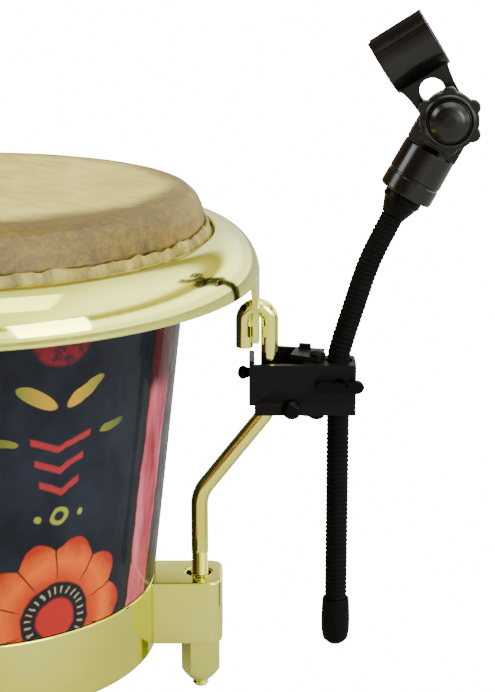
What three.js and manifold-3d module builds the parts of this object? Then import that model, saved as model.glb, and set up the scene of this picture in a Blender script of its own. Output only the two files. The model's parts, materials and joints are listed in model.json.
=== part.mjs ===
// A pair of bongo drums joined by a bridge block, with a microphone holder clamped to one tuning rod.
// Millimetres, +Z up. The group's origin is on the floor, under the middle of the whole assembly.
import * as THREE from "three";
import { mergeVertices } from "three/addons/utils/BufferGeometryUtils.js";
import Module from "manifold-3d";

const wasm = await Module();
wasm.setup();

// ---------------------------------------------------------------- driving dimensions
const GAP = 0.3; // between pieces that touch on the real object
const RING_FACETS = 32; // around shells, rims, heads and rings
const DRUM_GAP = 6; // between the two rims, on the line through both drums
const DRUMS = {
  macho: { shellTopRadius: 93.4, shellBottomRadius: 76.7 }, // nominal 7 1/4 in
  hembra: { shellTopRadius: 111, shellBottomRadius: 92.5 }, // nominal 8 5/8 in
};

const LUG_COUNT = 4;
const LUG_START = Math.PI / 4; // the first lug's angle from the line through both drums

// Heights are measured from the underside of the bottom ring.
const SHELL = { wall: 9, top: 187.6, edgeDrop: 3.1, edgeHeight: 7 };
const RING = { height: 30, band: 2.3, lip: 9, lipThickness: 2.6, proud: 0.5 };
const EAR = { reach: 27.5, width: 26, bottom: 3, corner: 5, slotLength: 10, slotClearance: 1.1 };
const HEAD = {
  top: 190,
  thickness: 1.8,
  flare: 4.6,
  bottom: 158.5,
  foldOut: 3.6,
  foldTop: 179.5,
  foldBottom: 169.8,
};
const HOOP = { radius: 2.9, centre: 162.4, sides: 6 };
const RIM = { wall: 2.6, collarTop: 174, skirt: 156.3, clearance: 0.4 };
const TONGUE = {
  rootHalfWidth: 22,
  halfWidth: 10.5,
  barBottom: 130,
  barTop: 134.6,
  windowMargin: 1.1, // over the hook
  windowSide: 1.5, // beside the rod
  wall: 2.2,
};

const ROD = { radius: 3.5, tip: -20.5, lowerBend: 64.2, upperBend: 100.4, bendRadius: 13, sides: 8 };
const ROD_STANDOFF = 18.7; // from the shell's bottom radius to the rod's lower leg
// The hook's outer leg stands off from the shell's top radius.
const HOOK = { standoff: 30.4, play: 0.4, centre: 137.4, tip: 126 };
const NUT = {
  acrossFlats: 14,
  flangeRadius: 8.6,
  flange: 1.8,
  height: 19.5,
  taper: 4,
  noseRadius: 4.8,
  clearance: 0.35,
};

const BRIDGE = { bottom: 64, top: 124, depth: 66 };
const BRIDGE_BOLT = {
  radius: 4,
  headRadius: 8,
  headHeight: 4.5,
  grip: 24,
  low: 79,
  high: 109,
  clearance: 0.4,
};
const BRIDGE_PLATE = { width: 26, margin: 13, thickness: 2.5 };

// The microphone holder, in the frame of the lug that it hangs on: x outwards from the upper leg of the rod,
// y along the rim, z up.
const NECK_RADIUS = 4.6;
const CLAMP = { bottom: 99.8, top: 120.5, left: -8.2, right: 34.4, front: -8.4, back: 7.6, sheet: 2.2 };
const CHEEK = { bottom: 104, top: 122.4 }; // the clamp's end plate beside the rod
const FLANGE = { start: 13.4, waist: 22, waistBack: 5 }; // narrower where the rear jaw swings past it
const NECK_HOLE_CLEARANCE = 1;
const PIVOT_PIN = { radius: 2, headRadius: 3.1, headHeight: 1.6, x: 19, y: 0 };
const REAR_JAW = { sheet: 1.8, openAngle: 0.24, length: 25, behindPin: 8.6, aheadOfPin: 1 };
const SADDLE = {
  right: 15.2,
  front: -5.9,
  back: 4,
  bottom: 102.4,
  top: 118,
  flare: 1.8,
  flareHeight: 5,
};
const SADDLE_SCREW = { radius: 2, headRadius: 3.9, headHeight: 3, x: 8.8, z: 102.4, reach: 9 };
const ROD_SCREW = { radius: 2, headRadius: 2.8, headLength: 4.2, z: 115.4 };
const THUMB_SCREW = {
  radius: 2.4,
  hubRadius: 4.2,
  hubLength: 5,
  wingSpan: 9.6,
  wingHeight: 3.1,
  wingDepth: 2.8,
  z: 112.6,
};

const NECK_SEGMENTS = 3; // hinged lengths above the clamp
const NECK_GAP = 3; // between them, so that they can bend
const NECK_LOWER = { x: 27.7, bottom: 4, top: 122.8 }; // straight, so that it slides through the clamp
// The gooseneck's centreline above that, as far as the fitting at the top.
const NECK_ROUTE = [
  [27.7, 122.8],
  [29.3, 129],
  [32.2, 138.5],
  [35.8, 151],
  [40.6, 164],
  [45.1, 173.6],
  [47.9, 179],
];
const NECK_CAP = { radius: 5.9, bottom: -1.7, top: 18.6, clearance: 0.3 };
const FITTING = {
  neckRadius: 5.1,
  collarRadius: 7.7,
  bottom: -9.6,
  collar: -3.2,
  top: -0.6,
  studRadius: 6.9,
  studTop: 10.5,
};

const SOCKET = {
  base: [52.7, 187.8],
  tilt: 28.7,
  swivel: -6,
  radius: 10.85,
  height: 21.5,
  pivot: 34.1,
  boreRadius: 9,
  boreDepth: 15,
};
const INSERT = { radius: 8.7, boreRadius: 7.2, top: 13 };
const FORK = { inner: 4.8, outer: 8.2, radius: 10.4 };
const CRADLE = {
  tilt: -61,
  centre: 32.4,
  radius: 14.4,
  wall: 2.5,
  mouth: 52,
  length: 23,
  tongue: 4.5,
  waist: 8.6,
  window: 4.5,
  windowAt: 13.6,
};
const CLIP_BOLT = { radius: 2.5, headRadius: 4.8, headHeight: 3.2, clearance: 0.3 };
const KNOB = {
  barrelRadius: 8.4,
  barrel: 2.4,
  lobes: 6,
  lobeRadius: 13.2,
  valleyRadius: 10.9,
  plate: 5,
  domeRadius: 8.9,
  dome: 4.6,
};

// ---------------------------------------------------------------- materials
const finish = (color, roughness, metalness) =>
  new THREE.MeshStandardMaterial({ color, roughness, metalness });
const lacqueredArt = finish(0x20283c, 0.2, 0);
const rawhide = finish(0xc9b478, 0.6, 0);
const goldPlate = finish(0xe0dc8e, 0.12, 1);
const steel = finish(0xb9b9b4, 0.3, 1);
const blackWood = finish(0x16171a, 0.35, 0);
const blackPaint = finish(0x141618, 0.45, 0);
const blackPlastic = finish(0x1b1a1a, 0.5, 0);
const blackRubber = finish(0x121314, 0.7, 0);

// ---------------------------------------------------------------- solids
const toSolid = (geometry) => {
  const bare = new THREE.BufferGeometry().setAttribute("position", geometry.getAttribute("position"));
  if (geometry.index) bare.setIndex(geometry.index);
  const merged = mergeVertices(bare, 1e-4);
  return new wasm.Manifold(
    new wasm.Mesh({
      numProp: 3,
      vertProperties: merged.attributes.position.array,
      triVerts: new Uint32Array(merged.index.array),
    }),
  );
};

const toGeometry = (solid) => {
  const mesh = solid.getMesh();
  const geometry = new THREE.BufferGeometry();
  geometry.setAttribute("position", new THREE.BufferAttribute(new Float32Array(mesh.vertProperties), 3));
  geometry.setIndex(new THREE.BufferAttribute(new Uint32Array(mesh.triVerts), 1));
  geometry.computeVertexNormals();
  return geometry;
};

const joined = (...geometries) => toGeometry(geometries.map(toSolid).reduce((a, b) => a.add(b)));
const cut = (geometry, ...tools) =>
  toGeometry(tools.map(toSolid).reduce((a, b) => a.subtract(b), toSolid(geometry)));
const common = (a, b) => toGeometry(toSolid(a).intersect(toSolid(b)));

// A profile of [radius, height] points turned about Z.
const turned = (profile, facets = RING_FACETS) =>
  new THREE.LatheGeometry(profile.map(([r, z]) => new THREE.Vector2(r, z)), facets).rotateX(Math.PI / 2);
const closed = (profile) => [...profile, profile[0]];

// A cylinder about Z from one height to another.
const cylinder = (radius, bottom, top, facets = 16) =>
  new THREE.CylinderGeometry(radius, radius, top - bottom, facets)
    .rotateX(Math.PI / 2)
    .translate(0, 0, (bottom + top) / 2);

// A box from its lowest to its highest corner.
const block = (low, high) =>
  new THREE.BoxGeometry(high[0] - low[0], high[1] - low[1], high[2] - low[2]).translate(
    (low[0] + high[0]) / 2,
    (low[1] + high[1]) / 2,
    (low[2] + high[2]) / 2,
  );

// A flat outline in X and Y, raised along Z.
const raised = (outline, bottom, top, curveSegments = 5) =>
  new THREE.ExtrudeGeometry(outline, {
    depth: top - bottom,
    bevelEnabled: false,
    curveSegments,
  }).translate(0, 0, bottom);

const rectangle = (x0, y0, x1, y1) =>
  new THREE.Shape([
    new THREE.Vector2(x0, y0),
    new THREE.Vector2(x1, y0),
    new THREE.Vector2(x1, y1),
    new THREE.Vector2(x0, y1),
  ]);

const discShape = (radius, x = 0, y = 0) => new THREE.Shape().absarc(x, y, radius, 0, 2 * Math.PI);

// A curve that runs straight from point to point, with one step for each.
class PointPath extends THREE.Curve {
  constructor(points) {
    super();
    this.points = points;
  }
  getPoint(t, target = new THREE.Vector3()) {
    const at = Math.min(Math.max(t, 0), 1) * (this.points.length - 1);
    const i = Math.min(Math.floor(at), this.points.length - 2);
    return target.lerpVectors(this.points[i], this.points[i + 1], at - i);
  }
  getPointAt(u, target) {
    return this.getPoint(u, target);
  }
  getTangentAt(u, target) {
    return this.getTangent(u, target);
  }
}

// A round bar of the given radius through points in the XZ plane.
const bar = (points, radius, sides) =>
  new THREE.ExtrudeGeometry(discShape(radius), {
    steps: points.length - 1,
    curveSegments: sides / 2,
    bevelEnabled: false,
    extrudePath: new PointPath(points.map(([x, z]) => new THREE.Vector3(x, 0, z))),
  });

// The points of an arc in the XZ plane, its ends included.
const arc = (x, z, radius, from, to, steps) =>
  Array.from({ length: steps + 1 }, (_, i) => {
    const angle = from + ((to - from) * i) / steps;
    return [x + radius * Math.cos(angle), z + radius * Math.sin(angle)];
  });

// Replaces the corner b of the path a, b, c by a round of the given radius.
const roundedCorner = ([ax, az], [bx, bz], [cx, cz], radius, steps) => {
  const toA = new THREE.Vector2(ax - bx, az - bz).normalize();
  const toC = new THREE.Vector2(cx - bx, cz - bz).normalize();
  const half = Math.acos(toA.dot(toC)) / 2;
  const centre = toA.clone().add(toC).normalize().multiplyScalar(radius / Math.sin(half));
  const start = toA.multiplyScalar(radius / Math.tan(half)).sub(centre);
  const end = toC.multiplyScalar(radius / Math.tan(half)).sub(centre);
  const turn = Math.atan2(start.x * end.y - start.y * end.x, start.dot(end));
  const from = Math.atan2(start.y, start.x);
  return arc(bx + centre.x, bz + centre.y, radius, from, from + turn, steps);
};

// ---------------------------------------------------------------- one drum
const outerRadiusAt = (drum, z) => {
  const slope = (drum.shellTopRadius - drum.shellBottomRadius) / (SHELL.top - RING.height);
  return drum.shellBottomRadius + slope * (z - RING.height);
};
// The hook's bend puts its two legs just clear of the tongue between them.
const hookBend = ROD.radius + TONGUE.wall / 2 + HOOK.play;
const windowTop = HOOK.centre + hookBend + ROD.radius + TONGUE.windowMargin;
const windowHalf = ROD.radius + TONGUE.windowSide;
const slotWidth = 2 * (ROD.radius + EAR.slotClearance);
const rimInnerRadius = (drum) => drum.shellTopRadius + HEAD.flare + HEAD.foldOut + RIM.clearance;
const rimOuterRadius = (drum) => hookRadius(drum) - hookBend + TONGUE.wall / 2;
const rodRadius = (drum) => drum.shellBottomRadius + ROD_STANDOFF;
const hookRadius = (drum) => drum.shellTopRadius + HOOK.standoff;
const lugAngles = Array.from({ length: LUG_COUNT }, (_, i) => LUG_START + (i * 2 * Math.PI) / LUG_COUNT);

const shellSeat = RING.lipThickness + GAP;

// The tapered shell, turned down at the foot where the ring's band goes round it.
const shellGeometry = (drum) => {
  const rebate = drum.shellBottomRadius + RING.proud - RING.band - GAP;
  const inner = (z) => outerRadiusAt(drum, z) - SHELL.wall;
  return turned(
    closed([
      [inner(shellSeat), shellSeat],
      [rebate, shellSeat],
      [rebate, RING.height + GAP],
      [outerRadiusAt(drum, RING.height + GAP), RING.height + GAP],
      [outerRadiusAt(drum, SHELL.top - SHELL.edgeHeight), SHELL.top - SHELL.edgeHeight],
      [drum.shellTopRadius - 0.4, SHELL.top - SHELL.edgeDrop],
      [inner(SHELL.top), SHELL.top],
    ]),
  );
};

// The skin: a flat head with a round shoulder, drawn down outside the shell, and its edge folded back up.
const headGeometry = (drum) => {
  const side = drum.shellTopRadius + HEAD.flare;
  const outside = [
    [side, HEAD.bottom],
    [side, HEAD.foldBottom],
    [side + HEAD.foldOut, HEAD.foldBottom],
    [side + HEAD.foldOut - 1.6, HEAD.foldTop - 0.4],
    [side + 0.4, HEAD.foldTop],
    [side - 0.7, HEAD.top - 7.5],
    [side - 2.2, HEAD.top - 3.8],
    [side - 5.2, HEAD.top - 1.1],
    [side - 10, HEAD.top],
    [0, HEAD.top],
  ];
  const inside = [
    [0, HEAD.top - HEAD.thickness],
    [side - 9.6 - HEAD.thickness, HEAD.top - HEAD.thickness],
    [side - 3.8, HEAD.top - 4.4],
    [side - HEAD.thickness, HEAD.foldTop - 4],
    [side - HEAD.thickness, HEAD.bottom],
  ];
  return turned([...inside, ...outside]);
};

const hoopGeometry = (drum) => {
  const around = drum.shellTopRadius + HEAD.flare + GAP + HOOP.radius;
  return new THREE.TorusGeometry(around, HOOP.radius, HOOP.sides, RING_FACETS).translate(0, 0, HOOP.centre);
};

// The counterhoop: a collar that bears on the flesh hoop, and a broad rounded skirt. A tongue at each lug
// carries the window that the rod's hook passes through.
const rimGeometry = (drum) => {
  const inner = rimInnerRadius(drum);
  const outer = rimOuterRadius(drum);
  const crest = inner + 1;
  const width = outer - crest;
  const rise = RIM.collarTop - RIM.skirt;
  const collarFoot = HOOP.centre + HOOP.radius + GAP;
  const bow = [90, 66, 44, 22, 0].map((degrees) => THREE.MathUtils.degToRad(degrees));
  const outside = bow.map((a) => [crest + width * Math.cos(a), RIM.skirt + rise * Math.sin(a)]);
  const innerCrest = crest + 0.6;
  const innerWidth = width - RIM.wall - 0.6;
  const innerRise = rise - RIM.wall;
  const inside = bow
    .slice(1)
    .reverse()
    .map((a) => [innerCrest + innerWidth * Math.cos(a), RIM.skirt + innerRise * Math.sin(a)]);
  const band = turned(
    closed([
      [inner, collarFoot],
      [inner, RIM.collarTop - 1],
      ...outside,
      ...inside,
      [inner + RIM.wall, RIM.collarTop - RIM.wall - 0.6],
      [inner + RIM.wall, collarFoot],
    ].reverse()),
  );
  const sleeve = turned(
    closed([
      [outer - TONGUE.wall, TONGUE.barBottom],
      [outer, TONGUE.barBottom],
      [outer, RIM.skirt + 3],
      [outer - TONGUE.wall, RIM.skirt + 3],
    ]),
  );
  const outline = new THREE.Shape([
    new THREE.Vector2(-TONGUE.halfWidth, TONGUE.barBottom - 1),
    new THREE.Vector2(TONGUE.halfWidth, TONGUE.barBottom - 1),
    new THREE.Vector2(TONGUE.halfWidth, windowTop),
    new THREE.Vector2(TONGUE.rootHalfWidth, RIM.skirt + 4),
    new THREE.Vector2(-TONGUE.rootHalfWidth, RIM.skirt + 4),
    new THREE.Vector2(-TONGUE.halfWidth, windowTop),
  ]);
  outline.holes.push(rectangle(-windowHalf, TONGUE.barTop, windowHalf, windowTop));
  const punch = raised(outline, 0, outer + 1)
    .rotateX(Math.PI / 2)
    .rotateZ(Math.PI / 2);
  return joined(band, ...lugAngles.map((angle) => common(sleeve, punch.clone().rotateZ(angle))));
};

// The bottom ring: a band and a lip under the shell, with one solid ear for each rod.
const ringGeometry = (drum) => {
  const outer = drum.shellBottomRadius + RING.proud;
  const band = turned(
    closed(
      [
        [outer - RING.band - RING.lip, 0],
        [outer - RING.band - RING.lip, RING.lipThickness],
        [outer - RING.band, RING.lipThickness],
        [outer - RING.band, RING.height],
        [outer, RING.height],
        [outer, 2.4],
        [outer - 1.8, 0],
      ].reverse(),
    ),
  );
  const end = outer + EAR.reach;
  const half = EAR.width / 2;
  const outline = new THREE.Shape()
    .moveTo(outer - RING.band + 1, -half)
    .lineTo(end - EAR.corner, -half)
    .absarc(end - EAR.corner, -half + EAR.corner, EAR.corner, -Math.PI / 2, 0)
    .absarc(end - EAR.corner, half - EAR.corner, EAR.corner, 0, Math.PI / 2)
    .lineTo(outer - RING.band + 1, half);
  const slotEnd = (EAR.slotLength - slotWidth) / 2;
  const slotAt = rodRadius(drum) - 0.6;
  outline.holes.push(
    new THREE.Path()
      .absarc(slotAt + slotEnd, 0, slotWidth / 2, -Math.PI / 2, Math.PI / 2)
      .absarc(slotAt - slotEnd, 0, slotWidth / 2, Math.PI / 2, (3 * Math.PI) / 2),
  );
  const ear = cut(
    raised(outline, EAR.bottom, RING.height, 4),
    cylinder(outer - RING.band + 0.4, 0, RING.height + 1, RING_FACETS),
  );
  return joined(band, ...lugAngles.map((angle) => ear.clone().rotateZ(angle)));
};

// A tuning rod: a threaded lower leg, a cranked middle and a hook over the rim's tongue.
const rodGeometry = (drum) => {
  const lower = rodRadius(drum);
  const upper = hookRadius(drum);
  const bends = [
    [lower, ROD.tip],
    [lower, ROD.lowerBend],
    [upper, ROD.upperBend],
    [upper, HOOK.centre],
  ];
  return bar(
    [
      bends[0],
      ...roundedCorner(bends[0], bends[1], bends[2], ROD.bendRadius, 4),
      ...roundedCorner(bends[1], bends[2], bends[3], ROD.bendRadius, 4),
      ...arc(upper - hookBend, HOOK.centre, hookBend, 0, Math.PI, 6),
      [upper - 2 * hookBend, HOOK.tip],
    ],
    ROD.radius,
    ROD.sides,
  );
};

// A flanged hexagon nut with a tapered nose, hanging under the ear.
const nutGeometry = () => {
  const cornerRadius = NUT.acrossFlats / Math.sqrt(3);
  const top = EAR.bottom - GAP;
  const foot = top - NUT.height;
  const hex = cylinder(cornerRadius, foot, top - NUT.flange / 2, 6);
  const envelope = turned(
    [
      [0, foot],
      [NUT.noseRadius, foot],
      [cornerRadius + GAP, foot + NUT.taper],
      [cornerRadius + GAP, top],
      [0, top],
    ],
    12,
  );
  const flange = cylinder(NUT.flangeRadius, top - NUT.flange, top, 16);
  const bore = cylinder(ROD.radius + NUT.clearance, foot - 1, top + 1, 12);
  return cut(joined(common(hex, envelope), flange), bore);
};

// ---------------------------------------------------------------- the bridge between the drums
const machoReach = rimOuterRadius(DRUMS.macho);
const hembraReach = rimOuterRadius(DRUMS.hembra);
const centreDistance = machoReach + hembraReach + DRUM_GAP;

// A cone that follows the shell, grown by the given distance.
const shellCone = (drum, grown) =>
  turned(
    [
      [0, RING.height],
      [outerRadiusAt(drum, RING.height) + grown, RING.height],
      [outerRadiusAt(drum, SHELL.top) + grown, SHELL.top],
      [0, SHELL.top],
    ],
  );

const boltHeights = [BRIDGE_BOLT.low, BRIDGE_BOLT.high];
const boltTool = (length, z) =>
  cylinder(BRIDGE_BOLT.radius + BRIDGE_BOLT.clearance, 0, length, 12).rotateY(Math.PI / 2).translate(0, 0, z);

// The block, in the macho's frame: the hembra stands at -centreDistance on X.
const bridgeGeometry = () => {
  const half = BRIDGE.depth / 2;
  const near = -outerRadiusAt(DRUMS.macho, BRIDGE.bottom) + 14;
  const far = -centreDistance + outerRadiusAt(DRUMS.hembra, BRIDGE.bottom) - 14;
  const body = raised(rectangle(far, -half, near, half), BRIDGE.bottom, BRIDGE.top);
  return cut(
    body,
    shellCone(DRUMS.macho, GAP),
    shellCone(DRUMS.hembra, GAP).translate(-centreDistance, 0, 0),
    ...boltHeights.flatMap((z) => {
      const machoFace = outerRadiusAt(DRUMS.macho, z) - 2;
      const hembraFace = outerRadiusAt(DRUMS.hembra, z) - 2;
      return [
        boltTool(BRIDGE_BOLT.grip + 4, z).translate(-machoFace - BRIDGE_BOLT.grip - 4, 0, 0),
        boltTool(BRIDGE_BOLT.grip + 4, z).translate(-centreDistance + hembraFace, 0, 0),
      ];
    }),
  );
};

// A bolt along +X, its domed head inside the shell. Its origin is the drum's axis.
const bridgeBoltGeometry = (drum, z) => {
  const shellInside = outerRadiusAt(drum, z - BRIDGE_BOLT.headRadius) - SHELL.wall;
  const seat = shellInside - BRIDGE_PLATE.thickness - 2.6 * GAP - 0.6;
  const end = outerRadiusAt(drum, z) + BRIDGE_BOLT.grip - 2;
  return turned(
    [
      [0, seat - BRIDGE_BOLT.headHeight],
      [BRIDGE_BOLT.headRadius * 0.6, seat - BRIDGE_BOLT.headHeight * 0.8],
      [BRIDGE_BOLT.headRadius, seat - 1.2],
      [BRIDGE_BOLT.headRadius, seat],
      [BRIDGE_BOLT.radius, seat],
      [BRIDGE_BOLT.radius, end],
      [0, end],
    ],
    12,
  )
    .rotateY(Math.PI / 2)
    .translate(0, 0, z);
};

// The curved steel plate that spreads the bolts' load inside the shell.
const bridgePlateGeometry = (drum) => {
  const inner = (z, depth) => outerRadiusAt(drum, z) - SHELL.wall - GAP - depth;
  const low = BRIDGE_BOLT.low - BRIDGE_PLATE.margin;
  const high = BRIDGE_BOLT.high + BRIDGE_PLATE.margin;
  const sleeve = turned(
    closed([
      [inner(low, BRIDGE_PLATE.thickness), low],
      [inner(low, 0), low],
      [inner(high, 0), high],
      [inner(high, BRIDGE_PLATE.thickness), high],
    ]),
  );
  const half = BRIDGE_PLATE.width / 2;
  const window = block([0, -half, low - 1], [inner(high, 0) + 5, half, high + 1]);
  return cut(common(sleeve, window), ...boltHeights.map((z) => boltTool(inner(high, 0) + 5, z)));
};

// ---------------------------------------------------------------- the microphone holder's clamp
const upright = (radius, x, y, bottom, top, facets = 12) =>
  cylinder(radius, bottom, top, facets).translate(x, y, 0);
const along = (radius, x, z, from, to, facets = 12) =>
  cylinder(radius, from, to, facets).rotateX(-Math.PI / 2).translate(x, 0, z);

// The front jaw: a channel whose flanges the neck passes through, open at the back where the rod goes in.
const frontJawGeometry = () => {
  const { bottom, top, left, right, front, back, sheet } = CLAMP;
  const face = block([left, front, CHEEK.bottom], [right, front + sheet, top]);
  const apron = block([left + sheet, front, bottom], [right, front + sheet, CHEEK.bottom + 1]);
  const cheek = block([left, front, CHEEK.bottom], [left + sheet, back, CHEEK.top]);
  const flangeOutline = new THREE.Shape([
    new THREE.Vector2(FLANGE.start, front),
    new THREE.Vector2(right, front),
    new THREE.Vector2(right, back),
    new THREE.Vector2(FLANGE.waist + 1.2, back),
    new THREE.Vector2(FLANGE.waist, FLANGE.waistBack),
    new THREE.Vector2(FLANGE.start, FLANGE.waistBack),
  ]);
  const flange = (z) => raised(flangeOutline, z, z + sheet);
  return cut(
    joined(face, apron, cheek, flange(bottom), flange(top - sheet)),
    upright(NECK_RADIUS + NECK_HOLE_CLEARANCE, NECK_LOWER.x, 0, bottom - 1, top + 1, 16),
    upright(PIVOT_PIN.radius + GAP, PIVOT_PIN.x, PIVOT_PIN.y, bottom - 1, top + 1),
    along(SADDLE_SCREW.radius + GAP, SADDLE_SCREW.x, SADDLE_SCREW.z, front - 1, front + sheet + 1),
    along(THUMB_SCREW.radius + GAP, NECK_LOWER.x, THUMB_SCREW.z, front - 1, front + sheet + 1),
    cylinder(ROD_SCREW.radius + GAP, left - 1, left + sheet + 1, 12)
      .rotateY(Math.PI / 2)
      .translate(0, 0, ROD_SCREW.z),
  );
};

// The rear jaw: a sheet behind the rod with a flange over and under the front jaw's, turning on the pin.
const rearJawGeometry = () => {
  const { sheet, length, behindPin, aheadOfPin } = REAR_JAW;
  const low = CLAMP.bottom - GAP - sheet;
  const high = CLAMP.top + GAP + sheet;
  const back = block([-length + aheadOfPin, behindPin, low], [aheadOfPin, behindPin + sheet, high]);
  const flangeOutline = new THREE.Shape([
    new THREE.Vector2(-10.6, behindPin + 1),
    new THREE.Vector2(-10.6, -1.4),
    new THREE.Vector2(-4, -3.6),
    new THREE.Vector2(2.4, -3.6),
    new THREE.Vector2(3, 3),
    new THREE.Vector2(aheadOfPin, behindPin - 1.4),
    new THREE.Vector2(aheadOfPin, behindPin + 1),
  ]);
  const tab = block([-9.4, behindPin, high - 0.5], [-4.6, behindPin + sheet, high + 1.8]);
  return cut(
    joined(back, tab, raised(flangeOutline, low, low + sheet), raised(flangeOutline, high - sheet, high)),
    upright(PIVOT_PIN.radius + GAP, 0, 0, low - 1, high + 1),
  )
    .rotateZ(-REAR_JAW.openAngle)
    .translate(PIVOT_PIN.x, PIVOT_PIN.y, 0);
};

// A vertical rivet with a domed head at each end.
const pivotPinGeometry = () => {
  const low = CLAMP.bottom - 2 * GAP - REAR_JAW.sheet;
  const high = CLAMP.top + 2 * GAP + REAR_JAW.sheet;
  const { radius, headRadius, headHeight } = PIVOT_PIN;
  return turned(
    [
      [0, low - headHeight],
      [headRadius * 0.75, low - headHeight * 0.7],
      [headRadius, low],
      [radius, low],
      [radius, high],
      [headRadius, high],
      [headRadius * 0.75, high + headHeight * 0.7],
      [0, high + headHeight],
    ],
    12,
  ).translate(PIVOT_PIN.x, PIVOT_PIN.y, 0);
};

// The block that the rod is pressed against.
const saddleGeometry = () => {
  // The rod bends away below the clamp, and the block turns around it there.
  const flare = turned(
    [
      [0, SADDLE.bottom - 1],
      [ROD.radius + GAP + SADDLE.flare, SADDLE.bottom - 1],
      [ROD.radius + GAP, SADDLE.bottom + SADDLE.flareHeight],
      [0, SADDLE.bottom + SADDLE.flareHeight],
    ],
    16,
  );
  return cut(
    block([1, SADDLE.front, SADDLE.bottom], [SADDLE.right, SADDLE.back, SADDLE.top]),
    upright(ROD.radius + GAP, 0, 0, SADDLE.bottom - 1, SADDLE.top + 1, 16),
    flare,
    along(
      SADDLE_SCREW.radius + GAP,
      SADDLE_SCREW.x,
      SADDLE_SCREW.z,
      SADDLE.front - 1,
      CLAMP.front + SADDLE_SCREW.reach + 1,
    ),
    upright(PIVOT_PIN.radius + 1, PIVOT_PIN.x, 0, SADDLE.bottom - 1, SADDLE.top + 1),
  );
};

// A pan-headed screw about Z: the head's outer face is at the bottom.
const panScrew = (radius, headRadius, headHeight, length) =>
  turned(
    [
      [0, -headHeight],
      [headRadius * 0.7, -headHeight],
      [headRadius, -headHeight * 0.6],
      [headRadius, 0],
      [radius, 0],
      [radius, length],
      [0, length],
    ],
    12,
  );

const saddleScrewGeometry = () =>
  panScrew(SADDLE_SCREW.radius, SADDLE_SCREW.headRadius, SADDLE_SCREW.headHeight, SADDLE_SCREW.reach + GAP)
    .rotateX(-Math.PI / 2)
    .translate(SADDLE_SCREW.x, CLAMP.front - GAP, SADDLE_SCREW.z);

const rodScrewGeometry = () => {
  const seat = CLAMP.left - GAP;
  const reach = -ROD.radius - GAP - seat;
  return panScrew(ROD_SCREW.radius, ROD_SCREW.headRadius, ROD_SCREW.headLength, reach)
    .rotateY(Math.PI / 2)
    .translate(seat, 0, ROD_SCREW.z);
};

// The winged screw that locks the neck. Its axis runs along Y and its wings lie along X.
const thumbScrewGeometry = () => {
  const { radius, hubRadius, hubLength, wingSpan, wingHeight, wingDepth, z } = THUMB_SCREW;
  const seat = CLAMP.front - GAP;
  const shank = along(radius, 0, 0, seat - 1, -NECK_RADIUS - GAP);
  const hub = along(hubRadius, 0, 0, seat - hubLength, seat);
  const wingOutline = new THREE.Shape()
    .moveTo(-2, -1.2)
    .quadraticCurveTo(wingSpan * 0.4, -wingHeight * 0.6, wingSpan - wingHeight, -wingHeight)
    .absarc(wingSpan - wingHeight, 0, wingHeight, -Math.PI / 2, Math.PI / 2)
    .quadraticCurveTo(wingSpan * 0.4, wingHeight * 0.6, -2, 1.2);
  const wing = raised(wingOutline, 0, wingDepth, 4)
    .rotateX(Math.PI / 2)
    .translate(0, seat - hubLength + wingDepth + 0.6, 0);
  return joined(shank, hub, wing, wing.clone().rotateY(Math.PI)).translate(NECK_LOWER.x, 0, z);
};

// ---------------------------------------------------------------- the gooseneck
const NECK_SIDES = 10;
const NECK_STEPS = 4; // straight runs in each hinged length
const neckCurve = new THREE.CatmullRomCurve3(NECK_ROUTE.map(([x, z]) => new THREE.Vector3(x, 0, z)));
const neckLengthAbove = neckCurve.getLength();
const segmentPitch = neckLengthAbove / NECK_SEGMENTS;
// The points of the centreline about which the neck's lengths turn, from the clamp upwards.
const neckJoints = Array.from({ length: NECK_SEGMENTS }, (_, i) => neckCurve.getPointAt(i / NECK_SEGMENTS));

const neckSegmentGeometry = (i) => {
  const from = i * segmentPitch + NECK_GAP / 2;
  const to = (i + 1) * segmentPitch - (i === NECK_SEGMENTS - 1 ? 2 * GAP : NECK_GAP / 2);
  const points = Array.from({ length: NECK_STEPS + 1 }, (_, j) => {
    const p = neckCurve.getPointAt((from + ((to - from) * j) / NECK_STEPS) / neckLengthAbove);
    return [p.x, p.z];
  });
  return bar(points, NECK_RADIUS, NECK_SIDES);
};

const neckLowerGeometry = () =>
  upright(NECK_RADIUS, NECK_LOWER.x, 0, NECK_LOWER.bottom, NECK_LOWER.top - NECK_GAP / 2, NECK_SIDES);

const neckCapGeometry = () => {
  const { radius, bottom, top, clearance } = NECK_CAP;
  const floor = NECK_LOWER.bottom - clearance;
  const inner = NECK_RADIUS + clearance;
  return turned(
    [
      [0, bottom],
      [radius * 0.6, bottom + 0.9],
      [radius * 0.92, bottom + 3],
      [radius, bottom + 5.5],
      [radius * 0.97, top - 1.5],
      [radius * 0.9, top],
      [inner, top],
      [inner, floor],
      [0, floor],
    ],
    16,
  ).translate(NECK_LOWER.x, 0, 0);
};

// ---------------------------------------------------------------- the clip, in the socket's frame
const fittingGeometry = () =>
  turned(
    [
      [0, FITTING.bottom],
      [FITTING.neckRadius, FITTING.bottom],
      [FITTING.collarRadius, FITTING.collar],
      [FITTING.collarRadius, FITTING.top],
      [FITTING.studRadius, FITTING.top],
      [FITTING.studRadius, FITTING.studTop],
      [0, FITTING.studTop],
    ],
    20,
  );

const insertGeometry = () =>
  turned(
    closed([
      [INSERT.boreRadius, FITTING.top + GAP],
      [INSERT.radius - 0.6, FITTING.top + GAP],
      [INSERT.radius, FITTING.top + GAP + 0.6],
      [INSERT.radius, INSERT.top],
      [INSERT.boreRadius, INSERT.top],
    ]),
    20,
  );

const capsuleEar = (radius, from, to) =>
  raised(
    new THREE.Shape()
      .moveTo(-radius, -from)
      .lineTo(radius, -from)
      .lineTo(radius, 0)
      .absarc(0, 0, radius, 0, Math.PI)
      .lineTo(-radius, -from),
    0,
    to,
    8,
  );

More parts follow.
